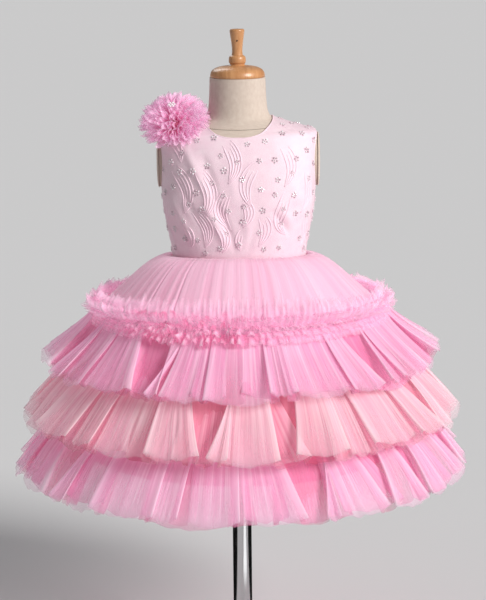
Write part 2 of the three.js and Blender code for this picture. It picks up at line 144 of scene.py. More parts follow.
world = bpy.data.worlds.new("studio")
bpy.context.scene.world = world
world.use_nodes = True
studio = world.node_tree
surround = studio.nodes["Background"]
surround.inputs["Color"].default_value = (0.97, 0.98, 1, 1)
surround.inputs["Strength"].default_value = 0.23
backdrop = studio.nodes.new("ShaderNodeBackground")
backdrop.inputs["Color"].default_value = (BACKDROP_GREY, BACKDROP_GREY, BACKDROP_GREY, 1)
seen = studio.nodes.new("ShaderNodeLightPath")
choose = studio.nodes.new("ShaderNodeMixShader")
studio.links.new(seen.outputs["Is Camera Ray"], choose.inputs[0])
studio.links.new(surround.outputs[0], choose.inputs[1])
studio.links.new(backdrop.outputs[0], choose.inputs[2])
studio.links.new(choose.outputs[0], studio.nodes["World Output"].inputs["Surface"])
bpy.context.scene.cycles.transparent_max_bounces = 40
bpy.context.scene.view_settings.view_transform = "Standard"

# %% [markdown]
# Small helpers come next. A cloth sheet starts as a grid primitive, whose corners are then laid on
# points that a formula gives, row by row. Where the sheet goes round the body its two side edges
# meet, and merging their doubles closes the seam.

# %% Helpers for shapes
def select_only(piece):
    bpy.ops.object.select_all(action="DESELECT")
    piece.select_set(True)
    bpy.context.view_layer.objects.active = piece


def apply_modifier(piece, kind, **settings):
    modifier = piece.modifiers.new(kind.title(), kind)
    for key, value in settings.items():
        setattr(modifier, key, value)
    select_only(piece)
    bpy.ops.object.modifier_apply(modifier=modifier.name)


def in_edit_mode(piece, *steps):
    """Runs operators in edit mode with the whole piece selected."""
    select_only(piece)
    bpy.ops.object.mode_set(mode="EDIT")
    bpy.ops.mesh.select_all(action="SELECT")
    for step in steps:
        step()
    bpy.ops.object.mode_set(mode="OBJECT")


def triangles(piece):
    return sum(len(p.vertices) - 2 for p in piece.data.polygons)


def sheet_from(name, points, closed=True, values=None):
    """A sheet through rows of points, with its first row lowest and its columns running anticlockwise.
    values gives a number for each point under a name, for materials to read."""
    if closed:
        points = np.concatenate([points, points[:, :1]], axis=1)
    rows, columns = points.shape[:2]
    bpy.ops.object.select_all(action="DESELECT")
    bpy.ops.mesh.primitive_grid_add(x_subdivisions=columns - 1, y_subdivisions=rows - 1, size=1)
    piece = bpy.context.object
    piece.name = piece.data.name = name
    flat = np.empty(len(piece.data.vertices) * 3)
    piece.data.vertices.foreach_get("co", flat)
    flat = flat.reshape(-1, 3)
    column = np.rint((flat[:, 0] + 0.5) * (columns - 1)).astype(int)
    row = np.rint((flat[:, 1] + 0.5) * (rows - 1)).astype(int)
    piece.data.vertices.foreach_set("co", points[row, column].ravel())
    for key, grid in (values or {}).items():
        if closed:
            grid = np.concatenate([grid, grid[:, :1]], axis=1)
        set_values(piece, key, grid[row, column])
    scale_uv(piece, cut_size(points))
    if closed:
        in_edit_mode(piece, lambda: bpy.ops.mesh.remove_doubles(threshold=1e-6))
    select_only(piece)
    bpy.ops.object.shade_smooth()
    return piece


def set_values(piece, key, numbers):
    """Gives each corner of a piece a number under a name, for materials to read."""
    layer = piece.data.attributes.new(key, "FLOAT", "POINT")
    layer.data.foreach_set("value", np.asarray(numbers, np.float32))


def cut_size(points):
    """The width and length that a sheet was cut to, measured along its rows and its columns."""
    across = np.linalg.norm(np.diff(points, axis=1), axis=2).sum(axis=1).mean()
    along = np.linalg.norm(np.diff(points, axis=0), axis=2).sum(axis=0).mean()
    return float(across), float(along)


def scale_uv(piece, size):
    """Makes a sheet's own map as large as its cloth, in metres."""
    layer = piece.data.uv_layers.active.data
    flat = np.empty(len(layer) * 2)
    layer.foreach_get("uv", flat)
    layer.foreach_set("uv", (flat.reshape(-1, 2) * size).ravel())


def mesh_piece(name, corners, faces, lines=()):
    mesh = bpy.data.meshes.new(name)
    mesh.from_pydata(corners, lines, faces)
    mesh.update()
    piece = bpy.data.objects.new(name, mesh)
    bpy.context.scene.collection.objects.link(piece)
    select_only(piece)
    bpy.ops.object.shade_smooth()
    return piece


def finish_piece(piece, material, slot, *nodes, body="root"):
    """Gives a piece its finish and the solids that it stands for. slot, its place in the table, is not used.
    """
    piece.data.materials.clear()
    piece.data.materials.append(material)
    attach(piece, body)
    if nodes:
        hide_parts(*nodes)
    print(f"{piece.name}: {triangles(piece)} triangles")
    return piece


# %% [markdown]
# Cords lie along a path as tubes. Each ring of a tube is turned no more than it must be from the
# one before, so that the tube doesn't twist.

# %% Helper for cords
def tube(path, radius, sides=6, closed=False):
    """Corners and faces of a tube along a path of points. radius may be one number for each point."""
    path = np.asarray(path, float)
    count = len(path)
    radius = np.broadcast_to(radius, count)
    tangent = np.roll(path, -1, 0) - np.roll(path, 1, 0) if closed else np.gradient(path, axis=0)
    tangent /= np.linalg.norm(tangent, axis=1)[:, None]
    side = np.cross(tangent[0], (0.31, 0.42, 0.85))
    corners = []
    for point, ahead, size in zip(path, tangent, radius):
        side = side - ahead * (side @ ahead)
        side /= np.linalg.norm(side)
        up = np.cross(ahead, side)
        turn = np.arange(sides) * TAU / sides
        corners.append(point + size * (np.outer(np.cos(turn), side) + np.outer(np.sin(turn), up)))
    faces = []
    for ring in range(count if closed else count - 1):
        here, there = ring * sides, (ring + 1) % count * sides
        for k in range(sides):
            m = (k + 1) % sides
            faces.append((here + k, here + m, there + m, there + k))
    if not closed:
        faces.append(tuple(reversed(range(sides))))
        faces.append(tuple(range((count - 1) * sides, count * sides)))
    return np.concatenate(corners), faces


def joined(parts):
    """Many sets of corners and faces as one set."""
    corners, faces, start = [], [], 0
    for these, those in parts:
        corners.append(these)
        faces += [tuple(start + k for k in face) for face in those]
        start += len(these)
    return np.concatenate(corners), faces


print("corners of a short tube:", len(tube([(0, 0, 0), (0, 0, 1), (0, 0, 2)], 0.1)[0]))

# %% [markdown]
# The body under the dress is a stack of level ovals with slightly flattened sides. A short table
# gives each oval's half width, its depth to the front and to the back, and how square it is. The
# rows between them follow a smooth line that never overshoots.

# %% The body's shape
BODY = np.array([
    # height, half width, front, back, squareness
    (430, 92, 72, 74, 2.2),
    (470, 92, 73, 75, 2.2),
    (512, 86.5, 71, 70, 2.3),
    (551, 84.2, 69, 66, 2.3),
    (590, 90, 71.5, 67, 2.4),
    (628, 95.6, 73, 69, 2.6),
    (652, 96.6, 71, 69, 2.6),
    (676, 97.6, 66.5, 67, 2.5),
    (694, 99, 60, 63, 2.4),
    (704, 99.5, 55, 58.5, 2.3),
    (709, 98.8, 52.5, 55, 2.2),
    (711, 95.4, 51, 53.2, 2.1),
    (713.5, 87.5, 49.5, 51, 2),
    (716.5, 77, 48, 48.4, 2),
    (720, 65.5, 45.6, 45.8, 2),
    (723.3, 54.5, 43, 43.2, 2),
    (726.6, 46, 40.8, 41, 2),
    (731, 40.6, 38.6, 38.8, 2),
    (740, 37.6, 37, 37, 2),
    (756, 36.2, 36, 36, 2),
    (779, 35.4, 35.4, 35.4, 2),
])
WAIST_Z = 551
BUST_Z = 628
NECK_TOP_Z = 779
FRONT = -math.pi / 2
BACK = math.pi / 2
WAIST_TILT = 0.1
WAIST_OVAL = (84, 69, 66, 2.3)


def smooth_column(table, column, height):
    """One column of a table at any height, on a smooth line with no overshoot."""
    knots, values = table[:, 0], table[:, column]
    slope = np.diff(values) / np.diff(knots)
    before, after = slope[:-1], slope[1:]
    total = np.where(before + after == 0, 1, before + after)
    inner = np.where(before * after > 0, 2 * before * after / total, 0)
    tangent = np.concatenate([slope[:1], inner, slope[-1:]])
    height = np.clip(height, knots[0], knots[-1])
    i = np.clip(np.searchsorted(knots, height) - 1, 0, len(knots) - 2)
    step = knots[i + 1] - knots[i]
    t = (height - knots[i]) / step
    return (
        (2 * t**3 - 3 * t**2 + 1) * values[i]
        + (t**3 - 2 * t**2 + t) * step * tangent[i]
        + (3 * t**2 - 2 * t**3) * values[i + 1]
        + (t**3 - t**2) * step * tangent[i + 1]
    )


def oval(angle, half_width, front, back, squareness):
    c, s = np.cos(angle), np.sin(angle)
    depth = np.where(s < 0, front, back)
    power = 2 / squareness
    return np.sign(c) * half_width * np.abs(c) ** power, np.sign(s) * depth * np.abs(s) ** power


def body_point(angle, height):
    """A point of the body in millimetres. Rows tilt up to the front at the waist, and no longer at the
    bust."""
    angle, height = np.broadcast_arrays(np.asarray(angle, float), np.asarray(height, float))
    tilt = WAIST_TILT * np.clip(1 - np.abs(height - WAIST_Z) / (BUST_Z - WAIST_Z), 0, 1)
    z = height - tilt * oval(angle, *WAIST_OVAL)[1]
    x, y = oval(angle, *(smooth_column(BODY, k, z) for k in (1, 2, 3, 4)))
    return np.stack([x, y, z], axis=-1)


def body_normal(angle, height):
    across = body_point(angle + 0.02, height) - body_point(angle - 0.02, height)
    up = body_point(angle, height + 0.8) - body_point(angle, height - 0.8)
    normal = np.cross(across, up)
    return normal / np.linalg.norm(normal, axis=-1, keepdims=True)


def body_offset(angle, height, lift):
    lift = np.asarray(lift, float)[..., None]
    return body_point(angle, height) + body_normal(angle, height) * lift


def even_heights(low, high, count):
    """Heights that are evenly spaced along the body's outline, so that the shoulders get their share."""
    dense = np.linspace(low, high, 1500)
    outline = np.stack([smooth_column(BODY, 1, dense), dense], axis=1)
    run = np.concatenate([[0], np.cumsum(np.linalg.norm(np.diff(outline, axis=0), axis=1))])
    return np.interp(np.linspace(0, run[-1], count), run, dense)


print("chest round the form in mm:", round(float(
    np.linalg.norm(np.diff(body_point(np.linspace(0, TAU, 400), BUST_Z), axis=0), axis=1).sum())))

# %% [markdown]
# Colour and surface come from node groups, each built once and used in several materials with its
# own values. A group puts out only colours, masks and heights. The shader itself stays in each
# material.

# %% Helpers for materials
def srgb(red, green, blue):
    """A colour as it is read off a screen, from 0 to 255, as the linear one that shaders use."""
    scaled = (np.array([red, green, blue]) / 255).tolist()
    return (*[c / 12.92 if c <= 0.04045 else ((c + 0.055) / 1.055) ** 2.4 for c in scaled], 1)


def new_group(name, inputs, outputs):
    """An empty shader group. inputs and outputs map a socket's name to its kind or default value."""
    group = bpy.data.node_groups.new(name, "ShaderNodeTree")
    for socket, default in inputs.items():
        kind = "NodeSocketColor" if isinstance(default, tuple) else "NodeSocketFloat"
        made = group.interface.new_socket(socket, in_out="INPUT", socket_type=kind)
        made.default_value = default
    for socket, kind in outputs.items():
        group.interface.new_socket(socket, in_out="OUTPUT", socket_type=kind)
    return group, group.nodes.new("NodeGroupInput").outputs, group.nodes.new("NodeGroupOutput").inputs


def add_node(tree, kind, settings=None, **links):
    """Adds a node. settings are its own options, and links give a value or a socket for each input."""
    node = tree.nodes.new(kind)
    for key, value in (settings or {}).items():
        setattr(node, key, value)
    for key, value in links.items():
        numbered = key[0] == "i" and key[1:].isdigit()
        socket = node.inputs[int(key[1:]) if numbered else key.replace("_", " ")]
        if isinstance(value, bpy.types.NodeSocket):
            tree.links.new(value, socket)
        else:
            socket.default_value = value
    return node


def math_node(tree, operation, *values):
    links = {f"i{k}": value for k, value in enumerate(values)}
    return add_node(tree, "ShaderNodeMath", {"operation": operation}, **links).outputs[0]


def mix_colour(tree, factor, first, second):
    return add_node(tree, "ShaderNodeMix", {"data_type": "RGBA"}, i0=factor, i6=first, i7=second).outputs[2]


def noise(tree, place, scale, **more):
    return add_node(tree, "ShaderNodeTexNoise", None, Vector=place, Scale=scale, **more).outputs[0]


def attribute(tree, name):
    return add_node(tree, "ShaderNodeAttribute", {"attribute_name": name}).outputs["Fac"]


def remap(tree, value, low, high, to_low, to_high):
    limits = {"i1": low, "i2": high, "i3": to_low, "i4": to_high}
    return add_node(tree, "ShaderNodeMapRange", None, i0=value, **limits).outputs[0]


def new_material(name, **settings):
    """A material with one Principled shader, whose fixed values are set on its own sockets."""
    material = bpy.data.materials.new(name)
    material.use_nodes = True
    shader = material.node_tree.nodes["Principled BSDF"]
    for key, value in settings.items():
        shader.inputs[key.replace("_", " ")].default_value = value
    return material, material.node_tree, shader


def add_bump(tree, shader, height, distance, strength=1.0):
    bump = add_node(tree, "ShaderNodeBump", None, Strength=strength, Distance=distance, Height=height)
    tree.links.new(bump.outputs["Normal"], shader.inputs["Normal"])


print("middle grey as a linear value:", round(srgb(128, 128, 128)[0], 3))

# %% [markdown]
# Gathered net shows fine streaks that run from its seam to its hem, where threads bunch together.
# The streaks are noise on the sheet's own map, squeezed across and stretched along. A second,
# broader band of noise makes some of them stronger.

# %% Net streaks group
streaks, given, out = new_group(
    "net_streaks",
    {"Fine": 620.0, "Broad": 170.0, "Along": 5.0},
    {"Mask": "NodeSocketFloat", "Height": "NodeSocketFloat"},
)
place = add_node(streaks, "ShaderNodeTexCoord").outputs["UV"]


def stretched_noise(tree, across, along, detail):
    scale = add_node(tree, "ShaderNodeCombineXYZ", None, X=across, Y=along, Z=1.0).outputs[0]
    spot = add_node(tree, "ShaderNodeVectorMath", {"operation": "MULTIPLY"}, i0=place, i1=scale).outputs[0]
    return noise(tree, spot, 1.0, Detail=detail)


fine = stretched_noise(streaks, given["Fine"], given["Along"], 2.0)
broad = stretched_noise(streaks, given["Broad"], given["Along"], 2.0)
shares = [math_node(streaks, "MULTIPLY", band, share) for band, share in ((fine, 0.6), (broad, 0.4))]
mask = remap(streaks, math_node(streaks, "ADD", *shares), 0.4, 0.64, 0.0, 1.0)
streaks.links.new(mask, out["Mask"])
streaks.links.new(fine, out["Height"])
print("group:", streaks.name)

# %% [markdown]
# Woven cloth is two sets of threads that pass over and under each other. Two crossed waves give
# their height, and a little noise keeps them from looking printed.

# %% Plain weave group
weave, given, out = new_group(
    "plain_weave",
    {"Threads": 1800.0, "Slubs": 60.0},
    {"Height": "NodeSocketFloat", "Slub": "NodeSocketFloat"},
)
place = add_node(weave, "ShaderNodeTexCoord").outputs["UV"]
warp, weft = (
    add_node(weave, "ShaderNodeTexWave", {"bands_direction": axis},
             Vector=place, Scale=given["Threads"], Distortion=0.6).outputs[1]
    for axis in "XY"
)
crossed = math_node(weave, "MULTIPLY", warp, weft)
slub = noise(weave, place, given["Slubs"], Detail=4.0)
weave.links.new(crossed, out["Height"])
weave.links.new(slub, out["Slub"])
print("group:", weave.name)

# %% [markdown]
# Wood and metal aren't one even colour either. This group gives a soft cloudiness from a point's
# own place on the object, for handling marks, faint stains and uneven varnish. On the crystal it
# paints a fine sparkle of light and shade.

# %% Soft clouds group
clouds, given, out = new_group(
    "soft_clouds",
    {"Size": 25.0, "Contrast": 1.0},
    {"Mask": "NodeSocketFloat"},
)
place = add_node(clouds, "ShaderNodeTexCoord").outputs["Object"]
cloud = noise(clouds, place, given["Size"], Detail=5.0, Roughness=0.6)
centred = math_node(clouds, "MULTIPLY", math_node(clouds, "SUBTRACT", cloud, 0.5), given["Contrast"])
clouds.links.new(math_node(clouds, "ADD", centred, 0.5), out["Mask"])
print("group:", clouds.name)


def use_group(tree, group, **values):
    return add_node(tree, "ShaderNodeGroup", {"node_tree": group}, **values).outputs


# %% [markdown]
# Tulle is a net so fine that its holes can't be seen from a step away. What shows is a coloured
# haze that lets some light through. Deep folds look darker and more saturated, because light has
# passed more layers, so each sheet carries a number called valley that says how deep a point lies,
# and a deeper pink is painted there as shade. Folds and streaks get a paler painted highlight, and a
# faint glow in the net's own colour paints in light that it scatters into its shade. Near its cut
# hem a sheet is a single layer and turns clearer.

# %% Tulle material
def tulle(name, colour, painted_shade, painted_highlight, cover, hem_cover, painted_glow=0.09, streak=0.3):
    """Net in three tones, each from 0 to 255: its own colour, a deeper pink painted as shade in the valleys
    and a paler one painted as highlight on folds and streaks. cover and hem_cover say how much it hides,
    above and at its hem. The glow is emission that paints light into the net's shade."""
    colour, painted_shade, painted_highlight = (srgb(*tone) for tone in (colour, painted_shade, painted_highlight))
    material, tree, shader = new_material(name, Roughness=0.75, Sheen_Weight=0.3, Sheen_Roughness=0.4)
    marks = use_group(tree, streaks)
    valley, fold, hem = (attribute(tree, key) for key in ("valley", "fold", "hem"))
    bright = math_node(tree, "MULTIPLY", marks["Mask"], 2.5 * streak)
    lit = math_node(tree, "MAXIMUM", bright, math_node(tree, "MULTIPLY", fold, 3 * streak))
    # The base colour is painted: paler where streaks and folds take a painted highlight, deeper pink where
    # valleys take painted shade.
    base = mix_colour(tree, valley, mix_colour(tree, lit, colour, painted_highlight), painted_shade)
    tree.links.new(base, shader.inputs["Base Color"])
    # The emission paints light into the net's shade, in the net's own colour.
    tree.links.new(base, shader.inputs["Emission Color"])
    shader.inputs["Emission Strength"].default_value = painted_glow
    threads = math_node(tree, "MULTIPLY_ADD", marks["Mask"], streak * cover, (1 - 0.5 * streak) * cover)
    fade = remap(tree, hem, 0.35, 1.0, 1.0, hem_cover / cover)
    thin = math_node(tree, "MULTIPLY", threads, fade)
    tree.links.new(math_node(tree, "MULTIPLY_ADD", fold, 0.5 * streak, thin), shader.inputs["Alpha"])
    add_bump(tree, shader, marks["Height"], 0.8 * MM, 2 * streak)
    return material


# Each inner net is the same net as the one over it, painted a deeper pink as shade. The frill and the crushed
# ruffles glow more, which paints pink light into their shaded crevices.
orchid = tulle("orchid_tulle", (252, 184, 222), (236, 112, 164), (255, 230, 246), 0.44, 0.2)
orchid_inner_shaded = tulle("orchid_tulle_inner_shaded", (247, 150, 198), (226, 88, 140), (254, 200, 228), 0.56, 0.28)
peach = tulle("peach_tulle", (253, 206, 222), (236, 112, 150), (255, 240, 243), 0.44, 0.2)
peach_inner_shaded = tulle("peach_tulle_inner_shaded", (250, 162, 190), (226, 88, 128), (255, 208, 222), 0.56, 0.28)
blush = tulle("blush_tulle", (254, 216, 236), (253, 198, 224), (255, 238, 247), 0.52, 0.52, streak=0.1)
blush_inner_shaded = tulle("blush_tulle_inner_shaded", (252, 196, 222), (248, 174, 206), (254, 220, 235),
                    0.7, 0.7, streak=0.12)
frill_net = tulle("frill_tulle", (255, 212, 236), (253, 196, 226), (255, 226, 243), 0.26, 0.05, painted_glow=0.15)
band_net = tulle("band_tulle", (254, 190, 222), (244, 134, 182), (255, 220, 238), 0.46, 0.18, painted_glow=0.17)
petal_net = tulle("petal_tulle", (254, 203, 236), (244, 138, 192), (255, 234, 248), 0.5, 0.3)
print("nets:", sum("tulle" in material.name for material in bpy.data.materials))

# %% [markdown]
# The other finishes: smooth satin with a soft highlight, plain rose lining, cream linen over the
# form, turned beech with a clear varnish, polished metal, and cut crystal for the beads. Each one
# mixes the groups above at its own scale.

# %% Satin, lining and linen
def woven(name, colour, second, threads, slubs, height, **settings):
    material, tree, shader = new_material(name, **settings)
    cloth = use_group(tree, weave, Threads=threads, Slubs=slubs)
    patches = use_group(tree, clouds, Size=14.0, Contrast=1.4)
    patchy = math_node(tree, "MULTIPLY", patches["Mask"], 0.4)
    mixed = math_node(tree, "MULTIPLY_ADD", cloth["Slub"], 0.6, patchy)
    base = mix_colour(tree, remap(tree, mixed, 0.35, 0.65, 0.0, 1.0), colour, second)
    tree.links.new(base, shader.inputs["Base Color"])
    add_bump(tree, shader, cloth["Height"], height, 0.6)
    return material


satin = woven("pale_pink_satin", srgb(250, 224, 234), srgb(247, 214, 227), 700.0, 90.0, 0.15 * MM,
              Roughness=0.5, Sheen_Weight=0.3, Sheen_Roughness=0.3, Specular_IOR_Level=0.5)
cord_satin = woven("embroidery_thread", srgb(249, 220, 232), srgb(242, 206, 221), 1500.0, 200.0, 0.1 * MM,
                   Roughness=0.45, Sheen_Weight=0.3)
lining = woven("rose_lining", srgb(232, 120, 152), srgb(224, 104, 138), 900.0, 40.0, 0.1 * MM,
               Roughness=0.5, Sheen_Weight=0.3)
linen = woven("cream_linen", srgb(224, 208, 194), srgb(212, 193, 178), 520.0, 130.0, 0.25 * MM,
              Roughness=0.85, Sheen_Weight=0.15)
thread = woven("form_thread", srgb(150, 132, 118), srgb(128, 110, 98), 1500.0, 200.0, 0.1 * MM, Roughness=0.8)
print("woven finishes:", [cloth.name for cloth in (satin, cord_satin, lining, linen, thread)])

# %% [markdown]
# Beech has long soft grain and short darker flecks. Both are noise that is squeezed on two axes, so
# the grain runs up the turned pieces. Polished metal needs almost no colour, only a few smudges that
# make its reflections a little dull in places. Cut crystal is nearly clear and very smooth. Each
# stone's tone is painted: lighter as a glint where its facets catch the light, darker as shade where
# they don't, with a fine painted sparkle over it.

# %% Wood, metal and crystal
beech, tree, shader = new_material("turned_beech", Roughness=0.38, Coat_Weight=0.25, Coat_Roughness=0.2)
place = add_node(tree, "ShaderNodeTexCoord").outputs["Object"]
grain_place = add_node(tree, "ShaderNodeMapping", None, Vector=place, Scale=(55.0, 12.0, 8.0)).outputs[0]
grain = noise(tree, grain_place, 3.0, Detail=6.0, Distortion=0.8)
fleck = noise(tree, grain_place, 22.0, Detail=2.0)
tone = mix_colour(tree, remap(tree, grain, 0.3, 0.7, 0.0, 1.0), srgb(214, 160, 110), srgb(186, 126, 78))
tone = mix_colour(tree, remap(tree, fleck, 0.58, 0.72, 0.0, 0.5), tone, srgb(170, 108, 62))
tree.links.new(tone, shader.inputs["Base Color"])
add_bump(tree, shader, grain, 0.1 * MM, 0.3)

chrome, tree, shader = new_material("polished_metal", Metallic=1.0, Base_Color=(0.62, 0.62, 0.63, 1))
smudge = use_group(tree, clouds, Size=30.0, Contrast=1.0)["Mask"]
tree.links.new(remap(tree, smudge, 0.3, 0.7, 0.08, 0.2), shader.inputs["Roughness"])

crystal, tree, shader = new_material("cut_crystal", Roughness=0.16, Coat_Weight=1.0, Coat_Roughness=0.03)
painted_sparkle = use_group(tree, clouds, Size=420.0, Contrast=1.5)["Mask"]
painted_glint_tone = attribute(tree, "glint")
# The stones' tone is painted glint and shade: a number for each stone and a fine sparkle move it from near
# white to a greyer pink.
painted_facet_shade = math_node(tree, "MULTIPLY_ADD", painted_sparkle, 0.25, math_node(tree, "MULTIPLY", painted_glint_tone, 0.85))
tree.links.new(mix_colour(tree, painted_facet_shade, srgb(255, 250, 252), srgb(196, 164, 178)), shader.inputs["Base Color"])

# The pin hole's dark brown is painted shade inside the hole, mottled at random.
dark_gap, tree, shader = new_material("dark_pin_hole", Roughness=0.7)
hole_mottle = use_group(tree, clouds, Size=300.0)["Mask"]
tree.links.new(mix_colour(tree, hole_mottle, srgb(70, 45, 30), srgb(40, 26, 18)), shader.inputs["Base Color"])
print("materials:", len(bpy.data.materials))

# %% [markdown]
# The dress form is a padded torso under stretched linen, with a plain round neck and short arm
# stubs. It is one sheet that closes at the bottom and the top. Its rows follow the body's table,
# packed closer over the shoulders, and the last rows turn in under the hips and on top of the neck.

# %% Form torso
TORSO_COLUMNS = 144
TORSO_ROWS = 96
EDGE_TURN = 6


def torso_points():
    angle = np.arange(TORSO_COLUMNS) * TAU / TORSO_COLUMNS
    heights = even_heights(BODY[0, 0] + 3, NECK_TOP_Z, TORSO_ROWS)
    rows = [body_point(angle, z) for z in heights]
    floor_ring, top_ring = body_point(angle, BODY[0, 0]), rows[-1]
    under = []
    for k in range(EDGE_TURN):
        share = math.sin(k / EDGE_TURN * math.pi / 2)
        ring = floor_ring * (0.96 + 0.04 * share, 0.96 + 0.04 * share, 1)
        ring[:, 2] = BODY[0, 0] + 3 * (1 - math.cos(k / EDGE_TURN * math.pi / 2))
        under.append(ring)
    closing = [under[0] * (share, share, 1) for share in (0.0, 0.5, 0.9)]
    capping = [top_ring * (share, share, 1) for share in (0.9, 0.4, 0.0)]
    return np.array(closing + under + rows + capping) * MM


def oval_stub(side):
    """An arm stub: a short oval drum from inside the torso out to its flat end, with a rounded rim."""
    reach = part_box("form_torso")[1].x
    bpy.ops.object.select_all(action="DESELECT")
    bpy.ops.mesh.primitive_cylinder_add(vertices=72, radius=1, depth=1, rotation=(0, BACK, 0))
    stub = bpy.context.object
    bpy.ops.object.transform_apply()
    from_x = reach - 24 * MM
    stub.scale = (reach - from_x, 22.5 * MM, 34 * MM)
    stub.location = (side * (reach + from_x) / 2, 1 * MM, 674 * MM)
    bpy.ops.object.transform_apply()
    apply_modifier(stub, "BEVEL", width=1.2 * MM, segments=3, limit_method="ANGLE")
    return stub


torso = sheet_from("form_torso_linen", torso_points())
in_edit_mode(torso, lambda: bpy.ops.mesh.remove_doubles(threshold=1e-6))
stubs = [oval_stub(side) for side in (-1, 1)]
select_only(torso)
for stub in stubs:
    stub.select_set(True)
bpy.ops.object.join()
bpy.ops.object.shade_smooth_by_angle(angle=math.radians(40))
finish_piece(torso, linen, "linen", "form_torso")

# %% [markdown]
# The wooden cap and the stand are turned or drawn parts, so each is one outline spun round the
# axis. The outline starts on the axis and ends on it, and the two ends close when their doubles
# are merged. A bevel takes the sharpness off the metal rims.

# %% Turned pieces
def turned(name, outline, steps=64):
    """Spins an outline of (radius, height) pairs, in millimetres, round the axis."""
    corners = [(r * MM, 0, z * MM) for r, z in outline]
    piece = mesh_piece(name, corners, [], [(k, k + 1) for k in range(len(corners) - 1)])
    in_edit_mode(
        piece,
        lambda: bpy.ops.mesh.spin(steps=steps, angle=TAU, center=(0, 0, 0), axis=(0, 0, 1)),
        lambda: bpy.ops.mesh.select_all(action="SELECT"),
        lambda: bpy.ops.mesh.remove_doubles(threshold=1e-6),
        lambda: bpy.ops.mesh.normals_make_consistent(inside=False),
    )
    select_only(piece)
    bpy.ops.object.shade_smooth_by_angle(angle=math.radians(42))
    return piece


def between(a, b, c, d, t):
    """A share t of the way from b to c, on the smooth curve that also runs through a and d."""
    return 0.5 * (
        2 * b + (c - a) * t + (2 * a - 5 * b + 4 * c - d) * t**2 + (3 * b - a - 3 * c + d) * t**3)


def rounded(points, steps=4):
    """A smooth line through an outline's points, which keeps its first and last points."""
    points = np.asarray(points, float)
    padded = np.concatenate([[2 * points[0] - points[1]], points, [2 * points[-1] - points[-2]]])
    made = []
    for a, b, c, d in zip(padded, padded[1:], padded[2:], padded[3:]):
        for t in np.arange(steps) / steps:
            made.append(between(a, b, c, d, t))
    return [*made, points[-1]]


CAP_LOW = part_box("form_neck_cap")[0].z / MM
cap_disc = [(34.2, 0), (34.7, 1.6), (34.4, 4), (32.6, 8), (28.2, 11.2), (20, 13.5), (10.4, 14.4)]
cap_collar = [(9.4, 15.4), (9.6, 17), (10.6, 18.2), (10.9, 21), (10.5, 24.4), (9.2, 26.4), (7.2, 27.4)]
cap_knob = [(6.6, 31), (6.7, 36), (7.4, 43), (8.5, 51), (9.3, 57), (9.1, 59), (8.2, 60.1)]
cap_outline = [(0, 0), *rounded(cap_disc), *rounded(cap_collar), *rounded(cap_knob), (0, 60.4)]
cap = turned("neck_cap_beech", [(r, z + CAP_LOW) for r, z in cap_outline])
finish_piece(cap, beech, "turned_wood", "form_neck_cap")

# A small dark bead in the knob stands for a pin hole; its darkness is painted shade.
bpy.ops.object.select_all(action="DESELECT")
bpy.ops.mesh.primitive_uv_sphere_add(
    segments=16, ring_count=8, radius=1.1 * MM, location=(0, -7.6 * MM, (CAP_LOW + 46) * MM))
pin = bpy.context.object
pin.name = "neck_cap_pin_hole"
bpy.ops.object.transform_apply()
bpy.ops.object.shade_smooth()
finish_piece(pin, dark_gap, "turned_wood")

foot_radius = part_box("stand_foot")[1].x / MM
foot_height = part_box("stand_foot")[1].z / MM
foot_outline = [(0, 0), (foot_radius - 1, 0), (foot_radius, 1), (foot_radius, foot_height - 4),
                (foot_radius - 1, foot_height - 1.6), (foot_radius - 4, foot_height), (0, foot_height)]
finish_piece(turned("stand_foot_metal", foot_outline, 128), chrome, "polished_metal", "stand_foot")
pole_low, pole_high = (corner.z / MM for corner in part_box("stand_pole"))
pole_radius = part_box("stand_pole")[1].x / MM
pole_outline = [(0, pole_low), (pole_radius, pole_low), (pole_radius, pole_high), (0, pole_high)]
finish_piece(turned("stand_pole_metal", pole_outline), chrome, "polished_metal", "stand_pole")
socket_low, socket_high = (corner.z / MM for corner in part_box("stand_socket"))
socket_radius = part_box("stand_socket")[1].x / MM
socket_outline = [(0, socket_low), (socket_radius - 0.8, socket_low), (socket_radius, socket_low + 0.8),
                  (socket_radius, socket_high), (0, socket_high)]
finish_piece(turned("stand_socket_metal", socket_outline), chrome, "polished_metal", "stand_socket")

# %% [markdown]
# Each arm stub ends in an oval plate, painted to match the linen. It is flat where it sits on the
# stub and slightly domed outside, as a pressed or sanded cap is. A sphere primitive is squared up
# towards its rim and pressed flat on the inner side.

# %% Arm plates
for side, node in ((-1, "form_arm_plate_right"), (1, "form_arm_plate_left")):
    low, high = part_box(node)
    bpy.ops.object.select_all(action="DESELECT")
    bpy.ops.mesh.primitive_uv_sphere_add(segments=80, ring_count=32, radius=1, rotation=(0, BACK, 0))
    plate = bpy.context.object
    plate.name = node + "_painted"
    bpy.ops.object.transform_apply()
    size, middle = (high - low) / 2, (high + low) / 2
    for corner in plate.data.vertices:
        from_hub = min(1.0, math.hypot(corner.co.y, corner.co.z))
        outside = side * corner.co.x > 1e-5
        dome = 2 * (1 - from_hub**3) ** 0.4 if outside else 0
        across, up = middle.y + size.y * corner.co.y, middle.z + size.z * corner.co.z
        corner.co = (middle.x + side * size.x * (dome - 1), across, up)
    select_only(plate)
    bpy.ops.object.shade_smooth_by_angle(angle=math.radians(60))
    finish_piece(plate, linen, "linen", node)

# %% [markdown]
# The bodice is cut from pale satin: a front and two backs. Each panel is a sheet that stands a
# little off the form. Its soft pulls and creases are troughs and ridges laid one by one along short
# lines, measured in millimetres round the body from the centre front and up from the floor.

# %% Bodice surface
SATIN_THICK = 1.1
SATIN_OUT = 2.2
around_angles = np.linspace(FRONT, FRONT + TAU, 721)
around_run = np.concatenate([[0], np.cumsum(np.linalg.norm(
    np.diff(body_offset(around_angles, 640.0, SATIN_OUT), axis=0), axis=1))])
HALF_ROUND = around_run[-1] / 2


